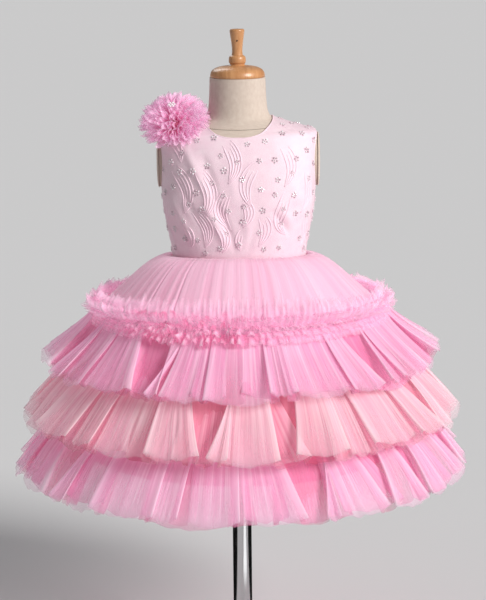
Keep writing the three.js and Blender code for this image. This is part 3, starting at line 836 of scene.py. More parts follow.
def angle_at(around):
    """The body's angle at a distance round it from the centre front, in millimetres."""
    return np.interp(np.mod(around, around_run[-1]), around_run, around_angles)


def around_at(angle):
    run = np.interp(np.mod(angle - FRONT, TAU) + FRONT, around_angles, around_run)
    return np.where(run > HALF_ROUND, run - 2 * HALF_ROUND, run)


CREASES = [
    # from (around, height) to (around, height), height of the fold, half width
    ((-72, 700), (-34, 630), 2.6, 6),
    ((-48, 690), (-26, 640), -1.9, 5),
    ((-34, 650), (-8, 562), -2.2, 5),
    ((-46, 640), (-22, 566), 2.6, 6),
    ((-78, 660), (-50, 590), -1.6, 5),
    ((-96, 640), (-60, 566), 2.2, 7),
    ((-14, 690), (-2, 620), 1.0, 7),
    ((8, 640), (18, 562), 1.2, 8),
    ((22, 600), (16, 560), -1.0, 5),
    ((44, 616), (72, 584), -2.0, 3.6),
    ((52, 622), (80, 590), 1.2, 5),
    ((62, 660), (92, 616), 1.0, 8),
    ((40, 704), (64, 668), 0.9, 8),
    ((98, 660), (112, 600), 1.2, 8),
    ((-118, 640), (-104, 584), 1.3, 8),
    ((182, 690), (206, 600), 1.4, 8),
    ((200, 680), (222, 610), -1.2, 6),
    ((-188, 676), (-214, 596), 1.4, 8),
    ((150, 630), (178, 580), -1.3, 6),
    ((-156, 626), (-184, 576), -1.3, 6),
]


def crease_lift(around, height):
    total = np.zeros(np.broadcast(around, height).shape)
    for (u0, v0), (u1, v1), lift, width in CREASES:
        run = np.array([u1 - u0, v1 - v0], float)
        t = np.clip(((around - u0) * run[0] + (height - v0) * run[1]) / (run @ run), 0, 1)
        away = np.hypot(around - u0 - t * run[0], height - v0 - t * run[1])
        total += lift * np.sin(math.pi * np.clip(t * 0.9 + 0.05, 0, 1)) * np.exp(-((away / width) ** 2))
    return total


def satin_point(around, height, lift=0.0):
    """A point on the satin, in millimetres, at a distance round the body and a height."""
    return body_offset(angle_at(around), height, SATIN_OUT + lift + crease_lift(around, height))


NECK_HALF_WIDTH, NECK_FRONT, NECK_BACK = 45, 55.5, 49.0
NECK_SQUARE_FRONT, NECK_SQUARE_BACK = 3.0, 2.3
ARMHOLE_Y, ARMHOLE_Z = 1, 674
ARMHOLE_HALF_DEPTH, ARMHOLE_HALF_HEIGHT = 27, 39.5
ARMHOLE_FROM_X = 60


def neckline_level(p):
    """Below zero inside the neck opening."""
    in_front = p[..., 1] < 0
    power = np.where(in_front, NECK_SQUARE_FRONT, NECK_SQUARE_BACK)
    depth = np.where(in_front, NECK_FRONT, NECK_BACK)
    return (np.abs(p[..., 0]) / NECK_HALF_WIDTH) ** power + (np.abs(p[..., 1]) / depth) ** power - 1


def armhole_level(p):
    """Below zero inside an armhole."""
    along = (p[..., 1] - ARMHOLE_Y) / ARMHOLE_HALF_DEPTH
    level = along**2 + ((p[..., 2] - ARMHOLE_Z) / ARMHOLE_HALF_HEIGHT) ** 2 - 1
    return np.where(np.abs(p[..., 0]) > ARMHOLE_FROM_X, level, 9.0)


print("round the bodice in mm:", round(float(2 * HALF_ROUND)))

# %% [markdown]
# The panels get their thickness first. Then three plain cutters open the neck and the arms, as a
# Boolean modifier does by hand. Cutting a closed wall leaves a clean rim with no holes.

# %% Bodice panels
PANEL_GAP = 0.15


def cutter(name, outline, low, high, lying):
    """A prism over a closed outline in millimetres, upright or lying along X."""
    ends = []
    for level in (low, high):
        ends.append([(level, a, b) if lying else (a, b, level) for a, b in outline])
    count = len(outline)
    corners = [tuple(v * MM for v in p) for end in ends for p in end]
    faces = [(k, (k + 1) % count, count + (k + 1) % count, count + k) for k in range(count)]
    faces += [tuple(reversed(range(count))), tuple(range(count, 2 * count))]
    return mesh_piece(name, corners, faces)


turn = np.arange(120) * TAU / 120
neck_square = np.where(np.sin(turn) < 0, NECK_SQUARE_FRONT, NECK_SQUARE_BACK)
neck_outline = list(zip(*oval(turn, NECK_HALF_WIDTH, NECK_FRONT, NECK_BACK, neck_square)))
cutters = [cutter("neck_cutter", neck_outline, 668, 800, False)]
arm_outline = list(zip(
    ARMHOLE_Y + ARMHOLE_HALF_DEPTH * np.cos(turn), ARMHOLE_Z + ARMHOLE_HALF_HEIGHT * np.sin(turn)))
for side in (-1, 1):
    cutters.append(cutter("arm_cutter", arm_outline, *sorted((side * ARMHOLE_FROM_X, side * 140)), True))


def panel(name, start, end, columns, node):
    """A panel of the bodice between two places round the body, in millimetres."""
    around = np.linspace(start + PANEL_GAP, end - PANEL_GAP, columns)
    heights = even_heights(WAIST_Z - 1, 745, 96)
    grid_around, grid_height = np.meshgrid(around, heights)
    points = satin_point(grid_around, grid_height)
    steps = np.linalg.norm(np.diff(points, axis=0), axis=2) * (neckline_level(points[1:]) > 0)
    piece = sheet_from(name, points * MM, closed=False)
    apply_modifier(piece, "SOLIDIFY", thickness=SATIN_THICK * MM, offset=-1)
    for tool in cutters:
        apply_modifier(piece, "BOOLEAN", object=tool, operation="DIFFERENCE", solver="EXACT")
    select_only(piece)
    bpy.ops.object.shade_smooth_by_angle(angle=math.radians(50))
    finish_piece(piece, satin, "satin", node)


side_seam = float(around_at(0.0))
panel("bodice_front_satin", -side_seam, side_seam, 150, "bodice_front")
panel("bodice_back_left_satin", side_seam, HALF_ROUND, 76, "bodice_back_left")
panel("bodice_back_right_satin", -HALF_ROUND, -side_seam, 76, "bodice_back_right")
for tool in cutters:
    bpy.data.objects.remove(tool)

# %% [markdown]
# The neck and the armholes have turned edges, a soft roll as thick as two layers. To lay a roll
# along an opening we look for its edge on the surface: from a point inside the opening we move
# outwards until the opening's level changes sign, and halve the step until it is exact.

# %% Turned edges
ROLL_RADIUS = 0.85


def edge_path(level, inside, outside):
    """Points where a level changes sign, between matching pairs of (around, height) points."""
    low, high = np.array(inside, float), np.array(outside, float)
    for _ in range(40):
        middle = (low + high) / 2
        value = level(satin_point(middle[:, 0], middle[:, 1]))
        low = np.where(value[:, None] < 0, middle, low)
        high = np.where(value[:, None] < 0, high, middle)
    return satin_point(high[:, 0], high[:, 1], -0.45)


loop = np.arange(160) * 2 * HALF_ROUND / 160
inside, outside = (np.stack([loop, np.full(160, z)], 1) for z in (742.0, 690.0))
edges = [tube(edge_path(neckline_level, inside, outside) * MM, ROLL_RADIUS * MM, 8, closed=True)]
loop = np.arange(120) * TAU / 120
for side in (-1, 1):
    hub = np.stack([np.full(120, side * side_seam), np.full(120, 676.0)], 1)
    rim = hub + np.stack([44 * np.cos(loop), np.where(np.sin(loop) > 0, 41, 62) * np.sin(loop)], 1)
    edges.append(tube(edge_path(armhole_level, hub, rim) * MM, ROLL_RADIUS * MM, 8, closed=True))
rolls = mesh_piece("bodice_turned_edges", *joined(edges))
finish_piece(rolls, satin, "satin")

# %% [markdown]
# The embroidery is raised cord in feather-like swirls, with small beaded flowers scattered between
# them. A swirl is a few cords side by side that start unevenly, like the barbs of a feather, and run
# together at the other end, along a line that is bowed to one side or swings to both. We keep the
# swirls in a short table of our own layout.

# %% Embroidered swirls
SWIRLS = [
    # around, height, heading in degrees, length, bow, swing, cords, spread
    (-86, 670, -78, 64, 38, 0, 5, 18),
    (-50, 668, -88, 66, 36, 0, 5, 17),
    (-18, 702, -86, 56, 40, 0, 5, 17),
    (-14, 642, -86, 56, -38, 0, 5, 16),
    (24, 676, -98, 58, -38, 0, 4, 15),
    (30, 610, -92, 46, 36, 0, 4, 14),
    (58, 696, -92, 54, 38, 0, 4, 14),
    (62, 640, -84, 62, -32, 10, 4, 15),
    (92, 664, -100, 56, 30, 0, 4, 13),
    (-108, 628, -80, 52, -30, 0, 4, 14),
    (-76, 598, -88, 36, 30, 0, 3, 10),
    (-92, 704, -58, 34, 30, 0, 3, 11),
    (-58, 618, -84, 56, 34, 0, 5, 16),
    (-30, 600, -88, 44, 32, 0, 4, 13),
    (8, 632, -94, 40, 30, 0, 4, 12),
    (4, 590, -92, 30, -30, 0, 3, 10),
    (94, 602, -92, 40, 30, 0, 3, 11),
    (152, 664, -92, 80, 8, 34, 4, 15),
    (180, 700, -94, 58, -38, 0, 5, 16),
    (184, 634, -88, 58, 38, 0, 5, 16),
    (214, 672, -86, 60, 36, 0, 4, 15),
    (216, 604, -92, 40, -34, 0, 4, 13),
    (150, 604, -84, 40, 30, 0, 3, 11),
    (-152, 660, -88, 80, -8, -34, 4, 15),
    (-180, 698, -86, 58, 38, 0, 5, 16),
    (-186, 632, -92, 58, -38, 0, 5, 16),
    (-214, 674, -94, 60, -36, 0, 4, 15),
    (-218, 606, -88, 42, 34, 0, 4, 13),
    (-148, 600, -94, 36, -30, 0, 3, 11),
]
CORD_RADIUS = 1.25


def swirl_paths(around, height, heading, length, bow_by, swing_by, cords, spread):
    t = np.linspace(0, 1, 26)
    turn_by = np.radians(bow_by) * np.cos(math.pi * t) + np.radians(swing_by) * np.cos(TAU * t)
    direction = math.radians(heading) + turn_by
    step = length / (len(t) - 1)
    u = around + np.concatenate([[0], np.cumsum(np.cos(direction[:-1]) * step)])
    v = height + np.concatenate([[0], np.cumsum(np.sin(direction[:-1]) * step)])
    bow = np.sin(math.pi * (0.2 + 0.8 * t)) ** 0.9
    for k in range(cords):
        away = (k / (cords - 1) - 0.5) * spread * bow
        first = int((2 * k + 3 * (k % 2)) % 7)
        yield (u - np.sin(direction) * away)[first:], (v + np.cos(direction) * away)[first:]


def clear_of_openings(around, height, margin):
    p = satin_point(around, height)
    zip_room = np.abs(np.abs(around) - HALF_ROUND)
    on_cloth = (neckline_level(p) > margin) & (armhole_level(p) > margin)
    return on_cloth & (zip_room > 7) & (height > WAIST_Z + 4)


CORD_SUNK = 0.55
cords = []
for swirl in SWIRLS:
    for u, v in swirl_paths(*swirl):
        kept = clear_of_openings(u, v, 0.06)
        longest = max(np.split(np.arange(len(u)), np.flatnonzero(~kept)), key=len)
        longest = longest[kept[longest]]
        if len(longest) > 6:
            from_end = np.minimum(np.arange(len(longest)), np.arange(len(longest))[::-1])
            taper = CORD_RADIUS * np.clip(from_end / 3, 0.45, 1)
            lift = 0.1 - CORD_SUNK * taper
            cords.append(tube(satin_point(u[longest], v[longest], lift) * MM, taper * MM, 7))
embroidery = mesh_piece("bodice_corded_embroidery", *joined(cords))
finish_piece(embroidery, cord_satin, "satin")

# %% [markdown]
# Each beaded flower has five cut stones round a small centre stone. One stone is a low icosphere,
# pressed flat. The flowers are scattered with a fixed seed: a new one is kept only where it is far
# enough from the others, so they look sewn by hand and still cover the cloth evenly.

# %% Beaded flowers
STONE = 1.4
FLOWER_GAP = 19
bpy.ops.object.select_all(action="DESELECT")
bpy.ops.mesh.primitive_ico_sphere_add(subdivisions=1, radius=1)
stone = bpy.context.object
stone_corners = np.array([v.co for v in stone.data.vertices])
stone_faces = [tuple(p.vertices) for p in stone.data.polygons]
bpy.data.objects.remove(stone)

FLOWER_CENTRE = np.array([-79, -18, 722.0])
scatter = np.random.default_rng(11)
tries = np.stack([scatter.uniform(-HALF_ROUND, HALF_ROUND, 5000), scatter.uniform(WAIST_Z + 8, 728, 5000)], 1)
tries = tries[clear_of_openings(tries[:, 0], tries[:, 1], 0.16)]
places = satin_point(tries[:, 0], tries[:, 1])
spots = []
for k, here in enumerate(places):
    near_flower = np.linalg.norm(here - FLOWER_CENTRE) < 44
    if not near_flower and all(np.linalg.norm(here - places[j]) > FLOWER_GAP for j in spots):
        spots.append(k)


def beads_at(around, height, size, spin):
    """Five stones round one, lying on the satin."""
    centre = satin_point(around, height, 0.7)
    normal = body_normal(angle_at(around), height)
    east = np.cross((0, 0, 1.0), normal)
    east /= np.linalg.norm(east)
    north = np.cross(normal, east)
    for k in range(6):
        turn_to = spin + k * TAU / 5
        away = 0 if k == 5 else 2.0 * size
        radius = 0.72 * size if k == 5 else size
        middle = centre + away * (math.cos(turn_to) * east + math.sin(turn_to) * north)
        frame_of = np.stack([east, north, normal * 0.55])
        yield (middle + radius * stone_corners @ frame_of) * MM, stone_faces


beads = []
for u, v in tries[spots]:
    beads += beads_at(u, v, STONE * scatter.uniform(0.85, 1.15), scatter.uniform(0, TAU))
stones = mesh_piece("bodice_beaded_flowers", *joined(beads))
# Each stone gets its own painted glint, a number that makes it lighter or darker.
painted_glints = scatter.uniform(0, 1, len(beads)) ** 1.6
set_values(stones, "glint", np.repeat(painted_glints, len(stone_corners)))
select_only(stones)
bpy.ops.object.shade_flat()
finish_piece(stones, crystal, "satin")
print("beaded flowers:", len(spots))

# %% [markdown]
# Every skirt layer is a long strip of cloth, gathered into a ring. A short line gives its half width
# at a few heights, from its seam to its free edge. The strip's own course round the ring is a list of
# knots, each with an angle and a lift, joined by a smooth curve. Knots may step back under the one
# before, and that is how a real pleat folds behind its own edge.

# %% Skirt helpers
def skirt_point(angle, r, z):
    """A point at a half width and a height. The waist follows the body, and lower rings are rounder."""
    share = np.clip((r - 86) / (185 - 86), 0, 1)
    front, back = 0.825 + 0.1 * share, 0.79 + 0.135 * share
    x, y = oval(angle, r, r * front, r * back, 2.3 - 0.3 * share)
    tilt = WAIST_TILT * np.clip((z - 485) / (WAIST_Z - 485), 0, 1)
    return np.stack(np.broadcast_arrays(x, y, z - tilt * y), axis=-1)


def pleats_of(count, seed):
    """The middle, width and height of each pleat round a layer."""
    i = np.arange(count)
    share = 1 + 0.3 * np.sin(2.3 * i + seed) + 0.18 * np.sin(4.1 * i + 2 * seed)
    width = share / share.sum() * TAU
    middle = np.cumsum(width) - width / 2
    return middle, width, 0.85 + 0.15 * np.sin(3.7 * i + seed)


def wander(angle, seed, low, high, count=7):
    """A gentle random wave round a ring, about -1 to 1, from a few whole-numbered waves."""
    dice = np.random.default_rng(seed)
    waves = dice.integers(low, high + 1, count)
    total = sum(np.sin(n * angle + p) for n, p in zip(waves, dice.uniform(0, TAU, count)))
    return total / math.sqrt(count * 2) / 1.3


def line_through(points, rows):
    """Rows along a smooth line through (half width, height) pairs, with the line's outward direction."""
    smooth = np.array(rounded(points, 24))
    run = np.concatenate([[0], np.cumsum(np.linalg.norm(np.diff(smooth, axis=0), axis=1))])
    at = run[-1] * np.linspace(0, 1, rows)
    r, z = np.interp(at, run, smooth[:, 0]), np.interp(at, run, smooth[:, 1])
    dr, dz = np.gradient(r), np.gradient(z)
    size = np.hypot(dr, dz) * (1 if z[-1] < z[0] else -1)
    return r, z, -dz / size, dr / size


def along_knots(knots, columns_each):
    """A function that carries one value for each knot to all columns, on a smooth closed curve."""
    count = len(knots)
    segment = np.repeat(np.arange(count), np.resize(columns_each, count))
    t = np.concatenate([np.arange(n) / n for n in np.resize(columns_each, count)])

    def carry(values, turn=0.0):
        ring = np.concatenate([values[-1:] - turn, values, values[:2] + turn])
        return between(*(ring[segment + k] for k in range(4)), t)

    return carry


print("half width at the gathering line in mm:", round(float(skirt_point(0.0, 183, 481)[0]), 1))

# %% [markdown]
# A pleat has a broad face that ends in a fold. Between two faces the cloth either dives into an open
# valley, or it only folds back a little way and comes out under its neighbour, from the left or from
# the right. Real hand-set pleats mix all three, so a seeded choice picks one for each place. The
# gathers hold the cloth together at the seam, so a face fans out and a valley closes towards the
# hem. Each face also has its own width, lean and hem length.

# %% Box and knife pleats
PLEAT_COLUMNS = [8, 10, 8, 4, 3, 4, 3, 4]
VALLEY, RIGHT_OVER, LEFT_OVER = range(3)


def pleated(count, seed, valleys=0.3):
    dice = np.random.default_rng(int(seed * 10))
    middle, width, height = pleats_of(count, seed)
    width = width * dice.uniform(0.82, 1.2, count)
    width *= TAU / width.sum()
    middle = np.cumsum(width) - width / 2
    kind = dice.choice(3, count, p=(valleys, (1 - valleys) / 2, (1 - valleys) / 2))
    gap = np.where(kind == VALLEY, width * dice.uniform(0.3, 0.56, count), 0)
    lean, drop = dice.normal(0, 0.016, count), dice.normal(0, 3.6, count)
    before = np.roll(kind, 1)
    edge_lift = dice.uniform(0.9, 1.35, count) * height
    right = np.where(kind == LEFT_OVER, 0.1, edge_lift)
    left = np.where(before == RIGHT_OVER, 0.1, dice.uniform(0.9, 1.35, count) * height)

    def every(*columns):
        return np.stack(np.broadcast_arrays(*columns, middle)[:-1], axis=1).ravel()

    def by_kind(valley, right_over, left_over):
        return np.select([kind == VALLEY, kind == RIGHT_OVER], [valley, right_over], left_over)

    def angles(t):
        room = gap * (2.0 - 1.55 * t)
        start = middle - width / 2 + np.roll(room, 1) / 2
        edge = middle + width / 2 - room / 2
        under = np.minimum(0.28 * width, 0.045) * (0.25 + 0.75 * t)
        after = edge + room
        third, half = (edge - start) / 3, lean * t
        follow = np.roll(half, -1)
        return every(
            start + half, start + third + half, edge - third + half, edge + half,
            by_kind(edge - 0.5 * under, edge - under, edge + 0.1 * under) + half,
            by_kind(edge + 0.25 * room, edge - 1.15 * under, edge + 0.6 * under) + half,
            by_kind(edge + 0.75 * room, edge - 0.6 * under, edge + 1.15 * under) + follow,
            by_kind(after + 0.5 * under, edge - 0.1 * under, edge + under) + follow,
        )

    crown = 0.25 * height
    lifts = every(
        left, 0.7 * left + 0.3 * right + crown, 0.3 * left + 0.7 * right + crown, right,
        by_kind(-0.3, 0.1, -0.35), by_kind(-1.0, -0.45, -0.6),
        by_kind(-1.0, -0.6, -0.45), by_kind(-0.3, -0.35, 0.1),
    )
    carry = along_knots(lifts, PLEAT_COLUMNS)
    # shade sets the painted shade in the hollows beside each face, and folds the painted highlight along its
    # raised edges, where the net is also a little denser.
    shade = every(
        0.04, 0, 0, 0.04,
        by_kind(0.6, 0.3, 0.4), by_kind(1, 0.5, 0.5), by_kind(1, 0.5, 0.5), by_kind(0.6, 0.4, 0.3),
    )
    hang = every(drop - 3, drop + 3.4, drop + 3.4, drop - 3, 0.4 * drop, 0, 0, 0.4 * np.roll(drop, -1))
    folds = every(left > 0.2, 0, 0, right > 0.2, 0.1, 0, 0, 0.1)
    return {
        "angle": lambda t: carry(angles(t), TAU),
        "lift": carry(lifts),
        "drop": carry(hang),
        "valley": np.clip(carry(shade), 0, 1),
        "fold": np.clip(carry(folds), 0, 1) ** 2,
    }


print("columns of one pleat:", sum(PLEAT_COLUMNS))

# %% [markdown]
# A ruffle has no flat faces. Its strip swings in and out in loops of uneven width and height. Where
# it is gathered hard, the loops are so full that their sides pass under each other. A crushed edge
# also bounces up and down.

# %% Ruffles
def ruffle(count, seed, fullness, columns, uneven=0.35, bounce=0):
    dice = np.random.default_rng(int(seed * 10))
    width = dice.uniform(1 - uneven, 1 + uneven, count)
    width *= TAU / width.sum()
    edges = np.concatenate([[0], np.cumsum(width)])
    s = np.arange(columns) * TAU / columns
    phase = np.interp(s, edges, np.arange(count + 1)) * TAU
    centres = np.concatenate([edges[:-1] + width / 2, [TAU + width[0] / 2]])

    def around(values):
        return np.interp(s, centres, np.append(values, values[0]), period=TAU)

    size = around(dice.uniform(1 - 1.3 * uneven, 1 + 1.3 * uneven, count))
    size = size * (1 + 0.25 * wander(s, int(seed) + 7, 5, 25))
    local, swing = around(width), wander(s, int(seed) + 9, 8, 40)
    return {
        "angle": lambda t: s + t * (fullness * local / TAU * np.sin(2 * phase) + 0.012 * swing),
        "lift": np.cos(phase) * size,
        "drop": bounce * wander(s, int(seed) + 13, 18, 90),
        # valley paints shade where a loop turns in, and fold paints a highlight on each loop's crest.
        "valley": np.clip(0.45 - 0.55 * np.cos(phase) * size, 0, 1),
        "fold": np.clip(np.cos(phase), 0, 1) ** 6,
    }


def strip(name, line, course, depths, rows, crimps, ragged=2.0, out=0.0, seed=1, thickness=0.35,
          sides=(0, 0), behind=0):
    """A gathered strip. depths run from its seam to its free edge, and crimps are (seam, edge) heights of the
    finest gathers and how many go round. sides moves the free edge (out, up) at the wearer's two sides, and
    behind is the share of that move at the back."""
    r, z, normal_r, normal_z = line_through(line, rows)
    share = np.linspace(0, 1, rows)
    depth = np.interp(share, np.linspace(0, 1, len(depths)), depths)
    columns = len(course["lift"])
    s = np.arange(columns) * TAU / columns
    edge = wander(s, seed + 5, 40, 220, 12)
    down = 1 if z[-1] < z[0] else -1
    at_sides = np.where(np.sin(s) > 0, np.maximum(np.cos(s) ** 2, behind), np.cos(s) ** 2)
    fine = wander(s, seed + 1, int(crimps[2] * 0.6), int(crimps[2] * 1.3), 12)
    soft = wander(s, seed + 2, int(crimps[2] * 0.2), int(crimps[2] * 0.4), 8)
    points = []
    for k, t in enumerate(share):
        stand = course["lift"] * depth[k] + out
        stand = stand + fine * (crimps[0] * (1 - t) + crimps[1] * t) + soft * 1.6 * crimps[1] * t
        fall = down * (course["drop"] * t**2 + ragged * edge * t**4)
        ring_r = r[k] + normal_r[k] * stand + sides[0] * at_sides * t
        ring_z = z[k] + normal_z[k] * stand - fall + sides[1] * at_sides * t
        points.append(skirt_point(course["angle"](t), ring_r, ring_z))
    points = np.array(points) * MM
    # The painted shade of the hollows and the painted highlight of the folds both grow towards the free edge.
    valley = course["valley"][None, :] * (0.45 + 0.55 * share[:, None])
    fold = course["fold"][None, :] * np.minimum(1, 0.2 + share[:, None])
    hem = np.repeat(share[:, None], columns, axis=1)
    if down == 1:
        points, valley, fold, hem = points[::-1], valley[::-1], fold[::-1], hem[::-1]
    piece = sheet_from(name, points, values={"valley": valley, "fold": fold, "hem": hem})
    apply_modifier(piece, "SOLIDIFY", thickness=thickness * MM, offset=0)
    return piece, cut_size(np.concatenate([points, points[:, :1]], axis=1))


print("a ruffle's course gives:", ", ".join(ruffle(5, 1, 0.2, 60)))

# %% [markdown]
# The lining carries the tiers. It shows only as a deep rose between the pleats, so it is one plain
# layer with a few soft flutes.

# %% Underskirt
UNDERSKIRT_LINE = [(85.9, 550.4), (104, 541), (128, 522), (152, 502), (170.5, 483), (179, 452),
                   (188, 396), (201, 296)]
underskirt, flat = strip("underskirt_lining", UNDERSKIRT_LINE, ruffle(18, 0.7, 0, 216), [0, 0.3, 0.6, 1], 20,
                         (0.1, 0.1, 30), ragged=0.3, seed=21, thickness=0.8)
finish_piece(underskirt, lining, "rose_lining", "underskirt")

# %% [markdown]
# The overskirt leaves the waist almost level and rounds over to the gathering line, like a dome.
# Two layers of blush net make it: the inner one is the same net painted a warmer, deeper pink as
# shade, and shows between the outer gathers.

# %% Overskirt
OVERSKIRT_LINE = [(88.6, 550.6), (100, 550.5), (121, 539), (150, 513.5), (177, 488), (183, 481)]
for name, out, course, net, seed in (
    ("overskirt_outer", 0.6, ruffle(56, 1.3, 0.2, 960, 0.75), blush, 31),
    ("overskirt_inner", -2.6, ruffle(38, 2.7, 0.2, 760), blush_inner_shaded, 41),
):
    around = np.arange(len(course["lift"])) * TAU / len(course["lift"])
    # On the dome the painted fold highlight is weakened and varies round it, and the painted shade of the
    # gathers is halved and mixed with broad random patches of deeper pink.
    course["fold"] = 0.4 * course["fold"] * np.clip(1 + wander(around, seed + 3, 6, 30), 0, 2)
    course["valley"] = np.clip(0.5 * course["valley"] + 0.25 + 0.4 * wander(around, seed + 4, 4, 16), 0, 1)
    layer, flat = strip(name, OVERSKIRT_LINE, course, [0.05, 0.15, 0.25, 0.35, 0.5], 13, (0.1, 0.12, 120),
                        ragged=0, out=out, seed=seed)
    finish_piece(layer, net, "blush_tulle", *(["overskirt"] if out > 0 else []))

# %% [markdown]
# Each tier is a long strip of net, gathered onto the lining. Two strips, one over the other with
# their pleats out of step, give the broad fans with bright fold lines and deep pink gaps. The bright
# lines are partly painted highlight, and the gaps partly painted shade: the inner strip is the same
# net painted a deeper pink.

# %% Tiers
TIERS = [
    # name, pleats' seed, share of open valleys, line, outer finish, inner finish painted deeper as shade,
    # slot
    ("tier_top", 0.4, 0.28, [(183, 487), (204, 462), (252, 417)], orchid, orchid_inner_shaded, "orchid_tulle"),
    ("tier_middle", 2.1, 0.36, [(186, 438), (231, 401), (279, 344)], peach, peach_inner_shaded, "peach_tulle"),
    ("tier_bottom", 4.6, 0.44, [(196.5, 368), (248, 328), (289, 273)], orchid, orchid_inner_shaded, "orchid_tulle"),
]
for k, (node, pleat_seed, valleys, line, outer_net, shaded_inner_net, slot) in enumerate(TIERS):
    outer, flat = strip(node + "_outer", line, pleated(28, pleat_seed, valleys), [1.4, 5, 9.5], 13,
                        (0.6, 0.7, 260), ragged=1.8, seed=50 + 10 * k)
    finish_piece(outer, outer_net, slot, node)
    hem, above = np.array(line[-1]), np.array(line[-2])
    shorter = [*line[:-1], tuple(hem + (above - hem) * 0.06)]
    # The inner strip's net is painted a deeper pink, as shade behind the outer one.
    inner, flat = strip(node + "_inner", shorter, pleated(24, pleat_seed + 1.9, 0.2), [1, 4, 6], 9,
                        (0.6, 0.7, 200), ragged=1.5, out=-8.5, seed=55 + 10 * k)
    finish_piece(inner, shaded_inner_net, slot)

# %% [markdown]
# A frill of clear net stands up from the gathering line. Three ruffled layers make it, from one that
# flares out to one that leans in on the dome. They are calmer in front and behind than at the sides.
# The frill's own edge is hidden by the crushed ruffles of the next step.

# %% Frill
FRILLS = [
    # name, seed, line, ruffles round, move at the sides
    ("frill_outer", 3.3, [(184.5, 488), (190, 495), (195, 500), (197, 507)], 170, (3, -18)),
    ("frill_middle", 5.1, [(184, 489), (188, 497), (190, 505), (186, 512)], 190, (9, -14)),
    ("frill_inner", 7.4, [(182, 490), (182, 500), (178, 509), (169, 516)], 170, (8, -11)),
]
for name, seed, line, count, sides in FRILLS:
    course = ruffle(count, seed, 0.3, 1400, 0.75, 3)
    around = np.arange(1400) * TAU / 1400
    # The painted fold highlight is calmer in front and behind, like the lift.
    for key, least in (("lift", 0.6), ("fold", 0.3)):
        course[key] = course[key] * (least + (1 - least) * np.cos(around) ** 2)
    layer, flat = strip(name, line, course, [0.4, 1.6, 3.2, 5], 7, (0.3, 1.3, 340),
                        ragged=3.2, seed=int(seed * 10), sides=sides, behind=1)
    finish_piece(layer, frill_net, "orchid_tulle", *(["frill"] if name == "frill_outer" else []))

# %% [markdown]
# Crushed ruffles hide the seam where the top tier, the frill and the overskirt meet. Each row is a
# narrow strip drawn up on its own thread, and the rows are sewn so close that they push each other
# out of line. They are fullest at the wearer's right and calmer at the left.

# %% Crushed ruffles
BAND_ROWS = [
    # name, seed, line, ruffles round
    ("crushed_ruffle_1", 2.2, [(184, 496), (190, 501), (198, 500)], 126),
    ("crushed_ruffle_2", 6.1, [(185, 489), (193, 492), (202, 490)], 148),
    ("crushed_ruffle_3", 9.3, [(186, 485), (195, 486), (203, 482)], 124),
    ("crushed_ruffle_4", 4.7, [(188, 481), (197, 479), (204, 473)], 136),
]
FULLEST = math.radians(250)
for name, seed, line, count in BAND_ROWS:
    course = ruffle(count, seed, 0.85, 1320, 0.75, 6)
    around = np.arange(1320) * TAU / 1320
    crush = 0.2 + 0.8 * np.exp(-(((around - FULLEST) / 0.5) ** 4)) + 0.3 * np.clip(np.sin(around), 0, 1)
    crush = crush * np.clip(1 + 0.5 * wander(around, int(seed) + 3, 9, 36), 0.3, 1.8)
    # The crush also scales each row's painted shade and painted highlight.
    for key in ("lift", "drop", "valley", "fold"):
        course[key] = course[key] * crush
    layer, flat = strip(name, line, course, [0.6, 3, 5], 4, (0.3, 0.8, 240), ragged=2.4, seed=int(seed * 10),
                        sides=(-9, -2))
    finish_piece(layer, band_net, "orchid_tulle")

# %% [markdown]
# The shoulder flower is a pompom of looped tulle petals on a round backing. One petal is a cupped
# sheet that widens to a rounded tip. It is laid out many times on a dome with the golden angle,
# which never lines two petals up, and the outer ones lean further over.

# %% Shoulder flower
PETALS = 290
GOLDEN = math.pi * (3 - math.sqrt(5))
flower_axis = Vector((-0.12, -0.55, 0.83)).normalized()
FLOWER_RADIUS = 47
FLOWER_HEIGHT = 34


def petal_points(reach, width, curl, cup, across=7, along=9):
    """Rows of points for one petal that grows along +Z, in millimetres."""
    t = np.linspace(0, 1, along)[:, None]
    a = np.linspace(-1, 1, across)[None, :]
    half = width * (0.3 + 0.7 * np.clip(t * 1.25, 0, 1) ** 1.3)
    x = half * a * (1 - 0.25 * t**6)
    y = cup * (a**2) * (0.5 + 0.5 * t) + curl * t**3
    z = reach * (0.35 + 0.65 * t) - 4.2 * (a**2) * t**2
    return np.stack(np.broadcast_arrays(x, y, z), axis=-1), np.broadcast_to(t, (along, across))


flower_dice = np.random.default_rng(23)
to_flower = np.array(Vector((0, 0, 1)).rotation_difference(flower_axis).to_matrix())
grids, petal_valleys, petal_hems = [], [], []
for i in range(PETALS):
    share = math.sqrt((i + 0.5) / PETALS)
    lean = math.radians(4 + 86 * share + flower_dice.uniform(-5, 5))
    reach = math.hypot(FLOWER_RADIUS * math.sin(lean), FLOWER_HEIGHT * math.cos(lean))
    reach *= flower_dice.uniform(0.9, 1.04)
    curl, cup = flower_dice.uniform(-3, 3), flower_dice.uniform(2.2, 4.2)
    points, t = petal_points(reach, 3.7 + 1.4 * share, curl, cup)
    spin = Euler((0, 0, flower_dice.uniform(-0.9, 0.9)))
    pose = Euler((0, lean, 0)).to_matrix()
    around = Euler((0, 0, i * GOLDEN)).to_matrix()
    turn_by = to_flower @ np.array(around @ pose @ spin.to_matrix())
    grids.append(points @ turn_by.T + FLOWER_CENTRE)
    # Each petal is painted a deeper pink towards its base, as shade in the heart of the flower.
    petal_valleys.append(np.clip(1.25 - 1.5 * t, 0, 1))
    petal_hems.append(t)

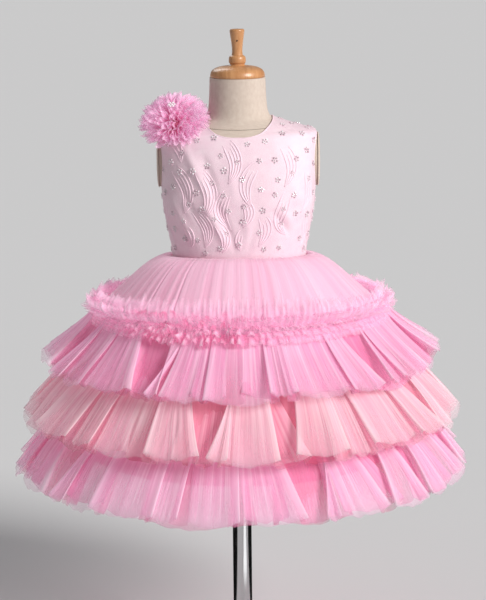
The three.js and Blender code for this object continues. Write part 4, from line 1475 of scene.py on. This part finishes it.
petal_parts, petal_values = [], {"valley": [], "hem": [], "fold": []}
for grid, valley, hem in zip(grids, petal_valleys, petal_hems):
    rows, columns = grid.shape[:2]
    quads = [(r * columns + c, r * columns + c + 1, (r + 1) * columns + c + 1, (r + 1) * columns + c)
             for r in range(rows - 1) for c in range(columns - 1)]
    petal_parts.append((grid.reshape(-1, 3) * MM, quads))
    petal_values["valley"].append(valley.ravel())
    petal_values["hem"].append(hem.ravel())
    petal_values["fold"].append(0 * hem.ravel())
flower = mesh_piece("shoulder_flower", *joined(petal_parts))
for key, numbers in petal_values.items():
    set_values(flower, key, np.concatenate(numbers))
apply_modifier(flower, "SOLIDIFY", thickness=0.4 * MM, offset=0)
finish_piece(flower, petal_net, "orchid_tulle", "flower")

bpy.ops.object.select_all(action="DESELECT")
bpy.ops.mesh.primitive_uv_sphere_add(segments=48, ring_count=16, radius=1)
backing = bpy.context.object
backing.name = "flower_backing"
backing.scale = (19 * MM, 19 * MM, 3 * MM)
backing.rotation_euler = Vector((0, 0, 1)).rotation_difference(flower_axis).to_euler()
backing.location = (FLOWER_CENTRE - 1.5 * np.array(flower_axis)) * MM
bpy.ops.object.transform_apply()
bpy.ops.object.shade_smooth()
finish_piece(backing, lining, "orchid_tulle")

crystals = []
for k in range(7):
    away = 0 if k == 6 else 3.6
    spot = np.array([away * math.cos(k * TAU / 6), away * math.sin(k * TAU / 6), FLOWER_HEIGHT - 1.5])
    middle = to_flower @ spot + FLOWER_CENTRE
    crystals.append(((middle + 1.6 * stone_corners) * MM, stone_faces))
gems = mesh_piece("flower_crystals", *joined(crystals))
select_only(gems)
bpy.ops.object.shade_flat()
finish_piece(gems, crystal, "orchid_tulle")

# %% [markdown]
# The zip at the centre back is hidden in its seam. Its slider and pull tab are hard pieces that are
# already right, so they keep their solids and only get a finish.

# %% Zip slider and pull
for node in ("zip_slider", "zip_pull"):
    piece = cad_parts[node]
    piece.data.materials.clear()
    piece.data.materials.append(chrome)
print("zip pieces finished")

# %% [markdown]
# A thin line of stitches runs round the base of the form's neck, where its linen cover is joined.

# %% Neck seam of the form
seam_angle = np.arange(160) * TAU / 160
seam_height = 728 + 11 * np.sin(seam_angle)
seam_path = body_offset(seam_angle, seam_height, 0.05)
neck_seam = mesh_piece("form_neck_seam", *tube(seam_path * MM, 0.33 * MM, 6, closed=True))
finish_piece(neck_seam, thread, "linen")
